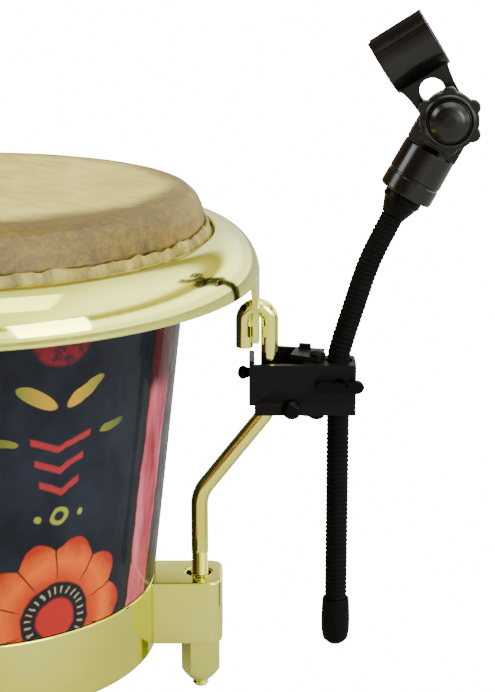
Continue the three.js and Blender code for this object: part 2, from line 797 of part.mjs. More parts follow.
// The socket: a threaded cup with two fork ears for the cradle's tongue.
const socketGeometry = () => {
  const { radius, height, pivot, boreRadius, boreDepth } = SOCKET;
  const cup = turned(
    [
      [0, boreDepth],
      [boreRadius, boreDepth],
      [boreRadius, 0],
      [radius - 0.8, 0],
      [radius, 0.8],
      [radius * 0.985, height - 1.5],
      [radius - 1.5, height],
      [0, height],
    ],
    24,
  );
  const ear = (side) =>
    capsuleEar(FORK.radius, pivot - height + 1.5, FORK.outer - FORK.inner)
      .rotateX(Math.PI / 2)
      .translate(0, side > 0 ? FORK.outer : -FORK.inner, pivot);
  return cut(joined(cup, ear(1), ear(-1)), along(CLIP_BOLT.radius + CLIP_BOLT.clearance, 0, pivot, -20, 20));
};

// The cradle, in a frame whose origin is the pivot, x along the microphone and z towards it.
const cradleGeometry = () => {
  const { centre, radius, wall, mouth, length, tongue, waist, window, windowAt } = CRADLE;
  const opening = THREE.MathUtils.degToRad(mouth);
  const start = Math.PI / 2 + opening;
  const end = Math.PI / 2 - opening + 2 * Math.PI;
  const section = new THREE.Shape()
    .absarc(0, centre, radius, start, end)
    .absarc(0, centre, radius - wall, end, start, true);
  const trough = raised(section, -length / 2, length / 2, 14).rotateX(Math.PI / 2).rotateZ(Math.PI / 2);
  const shoulder = centre - radius + wall * 0.6;
  const web = new THREE.Shape()
    .moveTo(-length / 2, shoulder)
    .quadraticCurveTo(-waist, shoulder - 4, -waist, 4)
    .lineTo(-waist, 0)
    .absarc(0, 0, waist, Math.PI, 2 * Math.PI)
    .lineTo(waist, 4)
    .quadraticCurveTo(waist, shoulder - 4, length / 2, shoulder);
  web.holes.push(new THREE.Path().absarc(0, windowAt, window, 0, 2 * Math.PI));
  web.holes.push(new THREE.Path().absarc(0, 0, CLIP_BOLT.radius + CLIP_BOLT.clearance, 0, 2 * Math.PI));
  const plate = raised(web, -tongue, tongue, 8).rotateX(Math.PI / 2);
  return joined(trough, plate);
};

const clipBoltGeometry = () => {
  const head = FORK.outer + GAP;
  return turned(
    [
      [0, -head - CLIP_BOLT.headHeight],
      [CLIP_BOLT.headRadius, -head - CLIP_BOLT.headHeight],
      [CLIP_BOLT.headRadius, -head],
      [CLIP_BOLT.radius, -head],
      [CLIP_BOLT.radius, head + KNOB.barrel + KNOB.plate - 1.5],
      [0, head + KNOB.barrel + KNOB.plate - 1.5],
    ],
    12,
  )
    .rotateX(Math.PI / 2)
    .translate(0, 0, SOCKET.pivot);
};

// The lobed locking knob, on the pivot's -Y side.
const knobGeometry = () => {
  const { barrelRadius, barrel, lobes, lobeRadius, valleyRadius, plate, domeRadius, dome } = KNOB;
  const middle = (lobeRadius + valleyRadius) / 2;
  const swing = (lobeRadius - valleyRadius) / 2;
  const star = new THREE.Shape(
    Array.from({ length: lobes * 6 }, (_, i) => {
      const angle = (i * 2 * Math.PI) / (lobes * 6);
      const r = middle + swing * Math.cos(lobes * angle);
      return new THREE.Vector2(r * Math.cos(angle), r * Math.sin(angle));
    }),
  );
  const seat = FORK.outer + GAP;
  const body = joined(
    cylinder(barrelRadius, seat, seat + barrel + 0.5, 20),
    raised(star, seat + barrel, seat + barrel + plate),
    turned(
      [
        [0, seat + barrel + plate - 1],
        [domeRadius, seat + barrel + plate - 1],
        [domeRadius, seat + barrel + plate + dome * 0.3],
        [domeRadius * 0.75, seat + barrel + plate + dome * 0.78],
        [domeRadius * 0.4, seat + barrel + plate + dome * 0.97],
        [0, seat + barrel + plate + dome],
      ],
      20,
    ),
  );
  const bore = cylinder(CLIP_BOLT.radius + CLIP_BOLT.clearance, seat - 1, seat + barrel + plate - 1.1, 12);
  return cut(body, bore)
    .rotateX(Math.PI / 2)
    .translate(0, 0, SOCKET.pivot);
};

// ---------------------------------------------------------------- the assembly
const named = (name, geometry, material) => {
  const mesh = new THREE.Mesh(geometry, material);
  mesh.name = name;
  return mesh;
};

const drumGroup = (label, drum) => {
  const group = new THREE.Group();
  const towardsBridge = label === "macho" ? Math.PI : 0;
  const shell = cut(
    shellGeometry(drum),
    ...boltHeights.map((z) => boltTool(outerRadiusAt(drum, z) + 6, z).rotateZ(towardsBridge)),
  );
  group.add(
    named(`${label}_shell`, shell, lacqueredArt),
    named(`${label}_head`, headGeometry(drum), rawhide),
    named(`${label}_flesh_hoop`, hoopGeometry(drum), steel),
    named(`${label}_rim`, rimGeometry(drum), goldPlate),
    named(`${label}_bottom_ring`, ringGeometry(drum), goldPlate),
    named(`${label}_bridge_plate`, bridgePlateGeometry(drum).rotateZ(towardsBridge), steel),
  );
  for (const [bolt, z] of Object.entries({ lower: BRIDGE_BOLT.low, upper: BRIDGE_BOLT.high })) {
    const geometry = bridgeBoltGeometry(drum, z).rotateZ(towardsBridge);
    group.add(named(`${label}_bridge_bolt_${bolt}`, geometry, steel));
  }
  lugAngles.forEach((angle, i) => {
    const rod = named(`${label}_tuning_rod_${i + 1}`, rodGeometry(drum), goldPlate);
    rod.rotation.z = angle;
    const nut = named(`${label}_tuning_nut_${i + 1}`, nutGeometry(), goldPlate);
    nut.position.set(rodRadius(drum) * Math.cos(angle), rodRadius(drum) * Math.sin(angle), 0);
    nut.rotation.z = angle;
    group.add(rod, nut);
  });
  return group;
};

const clipGroup = () => {
  const tilted = new THREE.Group();
  tilted.position.set(SOCKET.base[0], 0, SOCKET.base[1]);
  tilted.rotation.y = THREE.MathUtils.degToRad(SOCKET.tilt);
  tilted.add(named("neck_top_fitting", fittingGeometry(), blackPaint));
  const swivelled = new THREE.Group();
  swivelled.rotation.z = THREE.MathUtils.degToRad(SOCKET.swivel);
  const cradle = named("clip_cradle", cradleGeometry(), blackPlastic);
  cradle.position.z = SOCKET.pivot;
  cradle.rotation.y = THREE.MathUtils.degToRad(CRADLE.tilt);
  swivelled.add(
    named("clip_socket", socketGeometry(), blackPlastic),
    named("clip_thread_insert", insertGeometry(), steel),
    named("clip_bolt", clipBoltGeometry(), steel),
    named("clip_knob", knobGeometry(), blackPlastic),
    cradle,
  );
  tilted.add(swivelled);
  return tilted;
};

const holderGroup = () => {
  const group = new THREE.Group();
  const rodAt = hookRadius(DRUMS.macho);
  group.position.set(rodAt * Math.cos(LUG_START), rodAt * Math.sin(LUG_START), 0);
  group.rotation.z = LUG_START;
  group.add(
    named("clamp_front_jaw", frontJawGeometry(), blackPaint),
    named("clamp_rear_jaw", rearJawGeometry(), blackPaint),
    named("clamp_pivot_pin", pivotPinGeometry(), blackPaint),
    named("clamp_saddle", saddleGeometry(), blackRubber),
    named("clamp_saddle_screw", saddleScrewGeometry(), blackPaint),
    named("clamp_rod_screw", rodScrewGeometry(), blackPaint),
    named("clamp_thumb_screw", thumbScrewGeometry(), blackPaint),
    named("neck_lower", neckLowerGeometry(), blackRubber),
    named("neck_end_cap", neckCapGeometry(), blackRubber),
    clipGroup(),
  );
  for (let i = 0; i < NECK_SEGMENTS; i++) {
    group.add(named(`neck_segment_${i + 1}`, neckSegmentGeometry(i), blackRubber));
  }
  return group;
};

const model = new THREE.Group();
const macho = drumGroup("macho", DRUMS.macho);
macho.add(named("bridge_block", bridgeGeometry(), blackWood), holderGroup());
const hembra = drumGroup("hembra", DRUMS.hembra);
hembra.position.x = -centreDistance;
model.add(macho, hembra);

// Stand the assembly on the floor with the origin under the middle of its box.
const box = new THREE.Box3().setFromObject(model, true);
const middle = box.getCenter(new THREE.Vector3());
macho.position.set(-middle.x, -middle.y, -box.min.z);
hembra.position.set(-centreDistance - middle.x, -middle.y, -box.min.z);

// The drums' places and the neck's hinge points from the rod, for anyone who adds joints.
model.userData = { machoOrigin: macho.position, hembraOrigin: hembra.position, neckJoints, lugAngles };

export default model;
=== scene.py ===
"""Bongo drums with a microphone holder clamped to one tuning rod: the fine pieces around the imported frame."""
import json
import logging
import math
from dataclasses import dataclass, field
from enum import Enum
from typing import Callable, Optional, Sequence, Union

import bpy
from mathutils import Matrix, Vector, noise


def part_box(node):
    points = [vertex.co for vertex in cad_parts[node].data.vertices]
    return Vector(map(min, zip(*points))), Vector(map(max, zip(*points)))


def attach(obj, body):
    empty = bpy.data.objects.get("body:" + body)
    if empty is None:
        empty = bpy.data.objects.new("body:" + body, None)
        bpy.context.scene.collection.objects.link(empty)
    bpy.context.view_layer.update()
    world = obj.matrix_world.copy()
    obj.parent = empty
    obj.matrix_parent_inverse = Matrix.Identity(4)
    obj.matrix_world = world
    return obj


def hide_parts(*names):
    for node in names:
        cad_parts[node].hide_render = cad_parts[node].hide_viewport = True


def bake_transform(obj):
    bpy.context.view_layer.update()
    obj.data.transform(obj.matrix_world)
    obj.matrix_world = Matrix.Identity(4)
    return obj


LOG = logging.getLogger("bongos")
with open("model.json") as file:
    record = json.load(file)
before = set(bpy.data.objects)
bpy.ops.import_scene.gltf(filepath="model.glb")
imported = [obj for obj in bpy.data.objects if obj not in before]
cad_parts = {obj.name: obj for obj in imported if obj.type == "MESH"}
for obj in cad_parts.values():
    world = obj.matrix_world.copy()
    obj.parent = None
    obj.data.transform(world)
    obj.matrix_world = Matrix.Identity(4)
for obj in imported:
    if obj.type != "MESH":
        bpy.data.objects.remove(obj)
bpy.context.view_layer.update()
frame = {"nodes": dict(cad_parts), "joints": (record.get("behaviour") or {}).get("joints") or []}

MM = 0.001
TURN = 2 * math.pi
LUG_COUNT = 4
FIRST_LUG = math.pi / 4
Point = tuple[float, float]
Route = Sequence[Sequence[float]]
Socket = bpy.types.NodeSocket
Feed = Union[float, Sequence[float], Socket]


# ---------------------------------------------------------------- modelling moves
def put_down() -> None:
    """Leave edit mode and deselect everything."""
    if bpy.context.mode != "OBJECT":
        bpy.ops.object.mode_set(mode="OBJECT")
    bpy.ops.object.select_all(action="DESELECT")


def pick_up(*objects: bpy.types.Object) -> bpy.types.Object:
    """Select only these objects and make the first one active.

    Args:
        objects: The objects to select.

    Returns:
        The first object.
    """
    put_down()
    for obj in objects:
        obj.select_set(True)
    bpy.context.view_layer.objects.active = objects[0]
    return objects[0]


def named(name: str) -> bpy.types.Object:
    """Give the active object and its mesh a name.

    Args:
        name: The piece's name.

    Returns:
        The active object.
    """
    obj = bpy.context.view_layer.objects.active
    obj.name = obj.data.name = name
    return obj


def settle(obj: bpy.types.Object, place: Matrix) -> bpy.types.Object:
    """Move a piece to its place and leave the object itself at the origin.

    Args:
        obj: The piece.
        place: Where it goes.

    Returns:
        The same object.
    """
    pick_up(obj)
    obj.matrix_world = place @ obj.matrix_world
    bpy.ops.object.transform_apply(location=True, rotation=True, scale=True)
    return obj


def copied(obj: bpy.types.Object, name: str, place: Matrix) -> bpy.types.Object:
    """Copy a piece, with a mesh of its own, to another place.

    Args:
        obj: The piece to copy.
        name: The copy's name.
        place: The move from the original to the copy.

    Returns:
        The copy.
    """
    pick_up(obj)
    bpy.ops.object.duplicate(linked=False)
    twin = named(name)
    return settle(twin, place)


def modify(obj: bpy.types.Object, kind: str, **settings: object) -> bpy.types.Object:
    """Add a modifier and apply it.

    Args:
        obj: The piece.
        kind: The modifier's type.
        settings: Its settings by name.

    Returns:
        The same object.
    """
    pick_up(obj)
    modifier = obj.modifiers.new(kind.title(), kind)
    for key, value in settings.items():
        setattr(modifier, key, value)
    bpy.ops.object.modifier_apply(modifier=modifier.name)
    return obj


def bevelled(obj: bpy.types.Object, width: float, segments: int = 2, angle: float = 40) -> bpy.types.Object:
    """Round the edges that are sharper than an angle.

    Args:
        obj: The piece.
        width: The bevel's width in millimetres.
        segments: Faces across each bevel.
        angle: The least angle between two faces that is bevelled, in degrees.

    Returns:
        The same object.
    """
    return modify(
        obj, "BEVEL", width=width * MM, segments=segments, limit_method="ANGLE",
        angle_limit=math.radians(angle), use_clamp_overlap=True, miter_outer="MITER_ARC",
    )


def smoothed(obj: bpy.types.Object, angle: float = 32) -> bpy.types.Object:
    """Shade a piece smooth, apart from edges sharper than an angle in degrees."""
    pick_up(obj)
    bpy.ops.object.shade_smooth_by_angle(angle=math.radians(angle))
    return modify(obj, "WEIGHTED_NORMAL", keep_sharp=True)


def cleaned(obj: bpy.types.Object) -> bpy.types.Object:
    """Merge doubled points and turn all faces outwards."""
    pick_up(obj)
    bpy.ops.object.mode_set(mode="EDIT")
    bpy.ops.mesh.select_all(action="SELECT")
    bpy.ops.mesh.remove_doubles(threshold=0.002 * MM)
    bpy.ops.mesh.normals_make_consistent(inside=False)
    bpy.ops.object.mode_set(mode="OBJECT")
    return obj


def combined(obj: bpy.types.Object, *others: bpy.types.Object, how: str = "UNION") -> bpy.types.Object:
    """Join others to a piece, or cut them out of it, as solids.

    Args:
        obj: The piece that stays.
        others: The solids that are used up.
        how: UNION, DIFFERENCE or INTERSECT.

    Returns:
        The piece.
    """
    for other in others:
        modify(obj, "BOOLEAN", object=other, operation=how, solver="EXACT")
        bpy.data.objects.remove(other)
    return obj


def chain(name: str, points: Sequence[Sequence[float]]) -> bpy.types.Object:
    """Draw a run of edges through points, left selected in edit mode.

    Args:
        name: The new object's name.
        points: Points in millimetres.

    Returns:
        The object, whose mesh holds the edges.
    """
    put_down()
    start = Vector(points[0]) * MM
    bpy.ops.mesh.primitive_plane_add(size=MM, location=start)
    obj = named(name)
    bpy.ops.object.transform_apply(location=True, rotation=True, scale=True)
    bpy.ops.object.mode_set(mode="EDIT")
    bpy.ops.mesh.select_all(action="SELECT")
    bpy.ops.mesh.merge(type="CENTER")
    at = start
    for point in points[1:]:
        to = Vector(point) * MM
        bpy.ops.mesh.extrude_vertices_move(TRANSFORM_OT_translate={"value": to - at})
        at = to
    bpy.ops.mesh.select_all(action="SELECT")
    return obj


def rounded(points: Sequence[Sequence[float]], closed: bool = True, steps: int = 5) -> list[Point]:
    """Turn corners that carry a radius into arcs.

    Args:
        points: (x, y) or (x, y, corner radius), in millimetres.
        closed: Whether the last point joins the first.
        steps: Chords for each corner.

    Returns:
        Plain (x, y) points.
    """
    out: list[Point] = []
    count = len(points)
    for i, point in enumerate(points):
        here = Vector(point[:2])
        radius = point[2] if len(point) > 2 else 0
        if not radius or (not closed and i in (0, count - 1)):
            out.append((here.x, here.y))
            continue
        back = (Vector(points[i - 1][:2]) - here).normalized()
        on = (Vector(points[(i + 1) % count][:2]) - here).normalized()
        half = math.acos(max(-1.0, min(1.0, back.dot(on)))) / 2
        centre = here + (back + on).normalized() * radius / math.sin(half)
        first = here + back * radius / math.tan(half) - centre
        last = here + on * radius / math.tan(half) - centre
        turn = math.atan2(first.x * last.y - first.y * last.x, first.dot(last))
        for step in range(steps + 1):
            angle = math.atan2(first.y, first.x) + turn * step / steps
            out.append((centre.x + radius * math.cos(angle), centre.y + radius * math.sin(angle)))
    return out


def turned(name: str, outline: Sequence[Sequence[float]], steps: int = 96, closed: bool = False) -> bpy.types.Object:
    """Turn an outline about Z.

    Args:
        name: The piece's name.
        outline: (radius, height) or (radius, height, corner radius) points in millimetres.
        steps: Faces around.
        closed: Whether the outline is a loop clear of the axis.

    Returns:
        The turned solid.
    """
    flat = rounded(outline, closed)
    if closed:
        flat.append(flat[0])
    obj = chain(name, [(r, 0, z) for r, z in flat])
    bpy.ops.mesh.spin(steps=steps, angle=TURN, center=(0, 0, 0), axis=(0, 0, 1))
    return cleaned(obj)


def slab(name: str, outline: Sequence[Sequence[float]], low: float, high: float) -> bpy.types.Object:
    """Raise a flat outline along Z.

    Args:
        name: The piece's name.
        outline: (x, y) or (x, y, corner radius) points in millimetres.
        low: The lower face's height.
        high: The upper face's height.

    Returns:
        The raised solid.
    """
    flat = rounded(outline)
    obj = chain(name, [(x, y, low) for x, y in flat])
    bpy.ops.mesh.edge_face_add()
    bpy.ops.mesh.extrude_region_move(TRANSFORM_OT_translate={"value": (0, 0, (high - low) * MM)})
    return cleaned(obj)


def rod_shape(name: str, radius: float, low: float, high: float, sides: int = 32) -> bpy.types.Object:
    """A plain cylinder about Z, as a cutter or a start."""
    return turned(name, [(0, low), (radius, low), (radius, high), (0, high)], sides)


def swept(
    name: str, route: Route, radius: float, sides: int = 24, swell: Optional[Sequence[float]] = None
) -> bpy.types.Object:
    """Run a round section along a route.

    Args:
        name: The piece's name.
        route: Points in millimetres.
        radius: The section's radius in millimetres.
        sides: Faces around.
        swell: The share of the radius at each point.

    Returns:
        The tube as a closed mesh.
    """
    put_down()
    bpy.ops.curve.primitive_nurbs_path_add(location=(0, 0, 0))
    obj = named(name)
    curve = obj.data
    curve.splines.clear()
    spline = curve.splines.new("POLY")
    spline.points.add(len(route) - 1)
    for i, point in enumerate(route):
        spline.points[i].co = (*(Vector(point) * MM), 1)
        spline.points[i].radius = swell[i] if swell else 1
    curve.dimensions = "3D"
    curve.twist_mode = "MINIMUM"
    curve.bevel_depth = radius * MM
    curve.bevel_resolution = max(0, sides // 4 - 1)
    curve.use_fill_caps = True
    pick_up(obj)
    bpy.ops.object.convert(target="MESH")
    return cleaned(obj)


def arc(x: float, z: float, radius: float, start: float, end: float, steps: int) -> list[Point]:
    """Points on a round, from one angle to another, both ends included."""
    angles = [start + (end - start) * i / steps for i in range(steps + 1)]
    return [(x + radius * math.cos(a), z + radius * math.sin(a)) for a in angles]


def along_y() -> Matrix:
    """The turn that lays Z along +Y."""
    return Matrix.Rotation(-math.pi / 2, 4, "X")


def along_x() -> Matrix:
    """The turn that lays Z along +X."""
    return Matrix.Rotation(math.pi / 2, 4, "Y")


def stood_up() -> Matrix:
    """The turn that stands an outline in XY up in XZ."""
    return Matrix.Rotation(math.pi / 2, 4, "X")


def stood_across() -> Matrix:
    """The turn that stands an outline in XY up in YZ, its thickness along X."""
    return Matrix.Rotation(math.pi / 2, 4, "Z") @ stood_up()


def thread_rows(root: float, crest: float, low: float, high: float, pitch: float) -> list[Point]:
    """Points up the side of a thread that is drawn as close grooves.

    Args:
        root: The radius between the ridges.
        crest: The radius of the ridges.
        low: The lowest groove's height.
        high: The height that the last groove stays under.
        pitch: The height from one ridge to the next.

    Returns:
        (radius, height) points, the last of them on a ridge.
    """
    rows: list[Point] = []
    z = low
    while z < high:
        rows += [(root, z), (crest, z + pitch / 2)]
        z += pitch
    return rows


def shift(x: float = 0, y: float = 0, z: float = 0) -> Matrix:
    """A move in millimetres."""
    return Matrix.Translation(Vector((x, y, z)) * MM)


def about_z(angle: float) -> Matrix:
    """A turn about Z in radians."""
    return Matrix.Rotation(angle, 4, "Z")


def about_y(degrees: float) -> Matrix:
    """A turn about Y in degrees, which takes Z towards X."""
    return Matrix.Rotation(math.radians(degrees), 4, "Y")


# ---------------------------------------------------------------- materials
class Recipe:
    """A material's or group's node tree, with short ways to add to it."""

    def __init__(self, tree: bpy.types.NodeTree) -> None:
        """Keep the tree that nodes are added to."""
        self.tree = tree

    def node(self, kind: str, **settings: object) -> bpy.types.Node:
        """Add a node of a kind with the given settings."""
        made = self.tree.nodes.new(kind)
        for key, value in settings.items():
            setattr(made, key, value)
        return made

    def feed(self, socket: Socket, value: Feed) -> None:
        """Link a socket to another, or set it to a value."""
        if isinstance(value, bpy.types.NodeSocket):
            self.tree.links.new(value, socket)
        else:
            socket.default_value = value

    def sum(self, how: str, a: Feed, b: Feed = 0.0, c: Feed = 0.0) -> Socket:
        """Add a Math node of any kind."""
        made = self.node("ShaderNodeMath", operation=how)
        for socket, value in zip(made.inputs, (a, b, c)):
            self.feed(socket, value)
        return made.outputs[0]

    def plus(self, a: Feed, b: Feed) -> Socket:
        """Give a + b."""
        return self.sum("ADD", a, b)

    def less(self, a: Feed, b: Feed) -> Socket:
        """Give a - b."""
        return self.sum("SUBTRACT", a, b)

    def times(self, a: Feed, b: Feed) -> Socket:
        """Give a * b."""
        return self.sum("MULTIPLY", a, b)

    def scaled(self, a: Feed, b: Feed, c: Feed) -> Socket:
        """Give a * b + c."""
        return self.sum("MULTIPLY_ADD", a, b, c)

    def size(self, a: Feed) -> Socket:
        """Give a without its sign."""
        return self.sum("ABSOLUTE", a)

    def split(self, vector: Feed) -> Sequence[Socket]:
        """Give the x, y and z of a vector."""
        made = self.node("ShaderNodeSeparateXYZ")
        self.feed(made.inputs[0], vector)
        return made.outputs

    def mix(self, share: Feed, a: Feed, b: Feed, how: str = "MIX") -> Socket:
        """Add a colour Mix node."""
        made = self.node("ShaderNodeMix", data_type="RGBA", blend_type=how)
        self.feed(made.inputs[0], share)
        self.feed(made.inputs[6], a)
        self.feed(made.inputs[7], b)
        return made.outputs[2]

    def ramp(self, value: Feed, *stops: tuple[float, Sequence[float]], ease: str = "LINEAR") -> Socket:
        """Add a colour ramp with (position, colour) stops."""
        made = self.node("ShaderNodeValToRGB")
        made.color_ramp.interpolation = ease
        elements = made.color_ramp.elements
        while len(elements) < len(stops):
            elements.new(0.5)
        for element, (position, colour) in zip(elements, stops):
            element.position = position
            element.color = (*colour, 1)
        self.feed(made.inputs[0], value)
        return made.outputs[0]

    def span(self, value: Feed, low: float, high: float, to_low: float = 0.0, to_high: float = 1.0) -> Socket:
        """Map a range of values smoothly to another, clamped."""
        made = self.node("ShaderNodeMapRange", interpolation_type="SMOOTHSTEP")
        for socket, item in zip(made.inputs, (value, low, high, to_low, to_high)):
            self.feed(socket, item)
        return made.outputs[0]

    def place(self, centre: Sequence[float] = (0, 0, 0), scale: Sequence[float] = (1, 1, 1)) -> Socket:
        """Object coordinates about a centre in metres."""
        coordinates = self.node("ShaderNodeTexCoord")
        mapping = self.node("ShaderNodeMapping", vector_type="TEXTURE")
        self.feed(mapping.inputs[0], coordinates.outputs["Object"])
        mapping.inputs["Location"].default_value = centre
        mapping.inputs["Scale"].default_value = scale
        return mapping.outputs[0]

    def cloud(self, where: Feed, scale: float, detail: float = 2, rough: float = 0.5) -> Socket:
        """Add a noise texture and give its value."""
        made = self.node("ShaderNodeTexNoise")
        self.feed(made.inputs["Vector"], where)
        made.inputs["Scale"].default_value = scale
        made.inputs["Detail"].default_value = detail
        made.inputs["Roughness"].default_value = rough
        return made.outputs[0]

    def stretch(self, where: Feed, scale: Sequence[float]) -> Socket:
        """Scale a vector along each axis."""
        made = self.node("ShaderNodeVectorMath", operation="MULTIPLY")
        self.feed(made.inputs[0], where)
        made.inputs[1].default_value = scale
        return made.outputs[0]

    def bump(self, height: Feed, depth: float, strength: float = 1.0, normal: Optional[Socket] = None) -> Socket:
        """Add a Bump node: depth is in millimetres."""
        made = self.node("ShaderNodeBump")
        made.inputs["Strength"].default_value = strength
        made.inputs["Distance"].default_value = depth * MM
        self.feed(made.inputs["Height"], height)
        if normal:
            self.feed(made.inputs["Normal"], normal)
        return made.outputs[0]

    def effect(self, group: bpy.types.NodeTree, **values: Feed) -> bpy.types.Node:
        """Place a shared effect with its values."""
        made = self.node("ShaderNodeGroup", node_tree=group)
        for key, value in values.items():
            self.feed(made.inputs[key], value)
        return made


def shared_effect(
    name: str, inputs: dict[str, tuple[float, float, float]], outputs: Sequence[str],
    build: Callable[[Recipe, dict[str, Socket]], dict[str, Socket]],
) -> bpy.types.NodeTree:
    """Make a node group once.

    Args:
        name: The group's name.
        inputs: Each input's default, lowest and highest value.
        outputs: The outputs' names.
        build: Wires the group: takes the recipe and the inputs and gives the outputs.

    Returns:
        The group.
    """
    tree = bpy.data.node_groups.new(name, "ShaderNodeTree")
    for key, (start, low, high) in inputs.items():
        socket = tree.interface.new_socket(key, in_out="INPUT", socket_type="NodeSocketFloat")
        socket.default_value, socket.min_value, socket.max_value = start, low, high
    for key in outputs:
        tree.interface.new_socket(key, in_out="OUTPUT", socket_type="NodeSocketFloat")
    recipe = Recipe(tree)
    way_in = recipe.node("NodeGroupInput")
    way_out = recipe.node("NodeGroupOutput")
    made = build(recipe, {key: way_in.outputs[key] for key in inputs})
    for key, value in made.items():
        recipe.feed(way_out.inputs[key], value)
    return tree


def _wire_wear(recipe: Recipe, ins: dict[str, Socket]) -> dict[str, Socket]:
    """Rubbed edges: the convex edges, broken up by noise."""
    edges = recipe.node("ShaderNodeNewGeometry").outputs["Pointiness"]
    patches = recipe.node("ShaderNodeTexNoise")
    recipe.feed(patches.inputs["Vector"], recipe.place())
    recipe.feed(patches.inputs["Scale"], ins["Patch scale"])
    patches.inputs["Detail"].default_value = 4
    rubbed = recipe.span(recipe.scaled(patches.outputs[0], 0.08, edges), 0.56, 0.64)
    return {"Mask": recipe.times(rubbed, ins["Amount"])}


def _wire_handling(recipe: Recipe, ins: dict[str, Socket]) -> dict[str, Socket]:
    """Smears that vary the roughness between two values."""
    where = recipe.place()
    broad = recipe.cloud(where, 22, 3, 0.55)
    fine = recipe.cloud(recipe.stretch(where, (1, 1, 0.25)), 260, 2, 0.6)
    both = recipe.scaled(fine, 0.35, recipe.times(broad, 0.75))
    share = recipe.span(both, 0.35, 0.72)
    reach = recipe.less(ins["Highest"], ins["Lowest"])
    return {"Roughness": recipe.scaled(share, reach, ins["Lowest"]), "Mask": share}


def _wire_dust(recipe: Recipe, ins: dict[str, Socket]) -> dict[str, Socket]:
    """Fine specks that settle on faces that look up."""
    up = recipe.split(recipe.node("ShaderNodeNewGeometry").outputs["Normal"])[2]
    specks = recipe.node("ShaderNodeTexNoise")
    recipe.feed(specks.inputs["Vector"], recipe.place())
    recipe.feed(specks.inputs["Scale"], ins["Speck scale"])
    specks.inputs["Detail"].default_value = 2
    lit = recipe.times(recipe.span(specks.outputs[0], 0.58, 0.7), recipe.span(up, 0.1, 0.9))
    return {"Mask": recipe.times(lit, ins["Amount"])}


EDGE_WEAR = shared_effect(
    "edge_wear", {"Amount": (1, 0, 1), "Patch scale": (90, 0, 2000)}, ["Mask"], _wire_wear
)
HANDLING = shared_effect(
    "handling", {"Lowest": (0.05, 0, 1), "Highest": (0.2, 0, 1)}, ["Roughness", "Mask"], _wire_handling
)
DUST = shared_effect("dust", {"Amount": (0.3, 0, 1), "Speck scale": (1800, 0, 9000)}, ["Mask"], _wire_dust)


class Finish:
    """A material that is made once and laid on many pieces."""

    def make(self) -> bpy.types.Material:
        """Build the material. Each finish has its own."""
        raise NotImplementedError

    def material(self) -> bpy.types.Material:
        """The finish's material, made on first use."""
        name = getattr(self, "name")
        return bpy.data.materials.get(name) or self.make()

    def start(self) -> tuple[bpy.types.Material, Recipe, bpy.types.Node]:
        """A new material with its recipe and its shader."""
        material = bpy.data.materials.new(getattr(self, "name"))
        material.use_nodes = True
        recipe = Recipe(material.node_tree)
        return material, recipe, material.node_tree.nodes["Principled BSDF"]

    def dress(self, *pieces: bpy.types.Object) -> None:
        """Lay the finish on pieces."""
        for piece in pieces:
            piece.data.materials.clear()
            piece.data.materials.append(self.material())


@dataclass(frozen=True)
class Plating(Finish):
    """Bright plated metal with light tarnish, smears and a slight ripple."""

    name: str
    bright: tuple[float, float, float]
    aged: tuple[float, float, float]
    lowest: float = 0.04
    highest: float = 0.13
    ripple: float = 0.012

    def make(self) -> bpy.types.Material:
        """Build the plated metal."""
        material, recipe, shader = self.start()
        handled = recipe.effect(HANDLING, Lowest=self.lowest, Highest=self.highest)
        worn = recipe.effect(EDGE_WEAR, Amount=0.5)
        where = recipe.place()
        tone = recipe.span(recipe.cloud(where, 9, 4, 0.6), 0.4, 0.66)
        colour = recipe.mix(tone, (*self.bright, 1), (*self.aged, 1))
        pale = tuple(min(1.0, c * 1.12) for c in self.bright)
        shader.inputs["Metallic"].default_value = 1
        recipe.feed(shader.inputs["Base Color"], recipe.mix(worn.outputs["Mask"], colour, (*pale, 1)))
        recipe.feed(shader.inputs["Roughness"], handled.outputs["Roughness"])
        recipe.feed(shader.inputs["Normal"], recipe.bump(recipe.cloud(where, 130, 2), self.ripple, 0.5))
        return material


@dataclass(frozen=True)
class Coating(Finish):
    """A dark paint, plastic or rubber: a fine surface texture, smears, dust and rubbed edges."""

    name: str
    colour: tuple[float, float, float]
    rubbed: tuple[float, float, float]
    lowest: float
    highest: float
    grain: float
    depth: float
    wear: float = 0.5
    dust: float = 0.02
    gloss: float = 0.4

    def make(self) -> bpy.types.Material:
        """Build the coating."""
        material, recipe, shader = self.start()
        handled = recipe.effect(HANDLING, Lowest=self.lowest, Highest=self.highest)
        worn = recipe.effect(EDGE_WEAR, Amount=self.wear)
        settled = recipe.effect(DUST, Amount=self.dust)
        where = recipe.place()
        shade = recipe.span(recipe.cloud(where, 60, 3), 0.3, 0.7, 0.75, 1.3)
        base = recipe.mix(1.0, (*self.colour, 1), recipe.ramp(shade, (0, (0.6,) * 3), (1, (1.0,) * 3)), "MULTIPLY")
        edged = recipe.mix(worn.outputs["Mask"], base, (*self.rubbed, 1))
        recipe.feed(shader.inputs["Base Color"], recipe.mix(settled.outputs["Mask"], edged, (0.3, 0.29, 0.27, 1)))
        recipe.feed(shader.inputs["Roughness"], handled.outputs["Roughness"])
        recipe.feed(shader.inputs["Normal"], recipe.bump(recipe.cloud(where, self.grain, 2, 0.6), self.depth, 0.6))
        shader.inputs["Specular IOR Level"].default_value = self.gloss
        return material


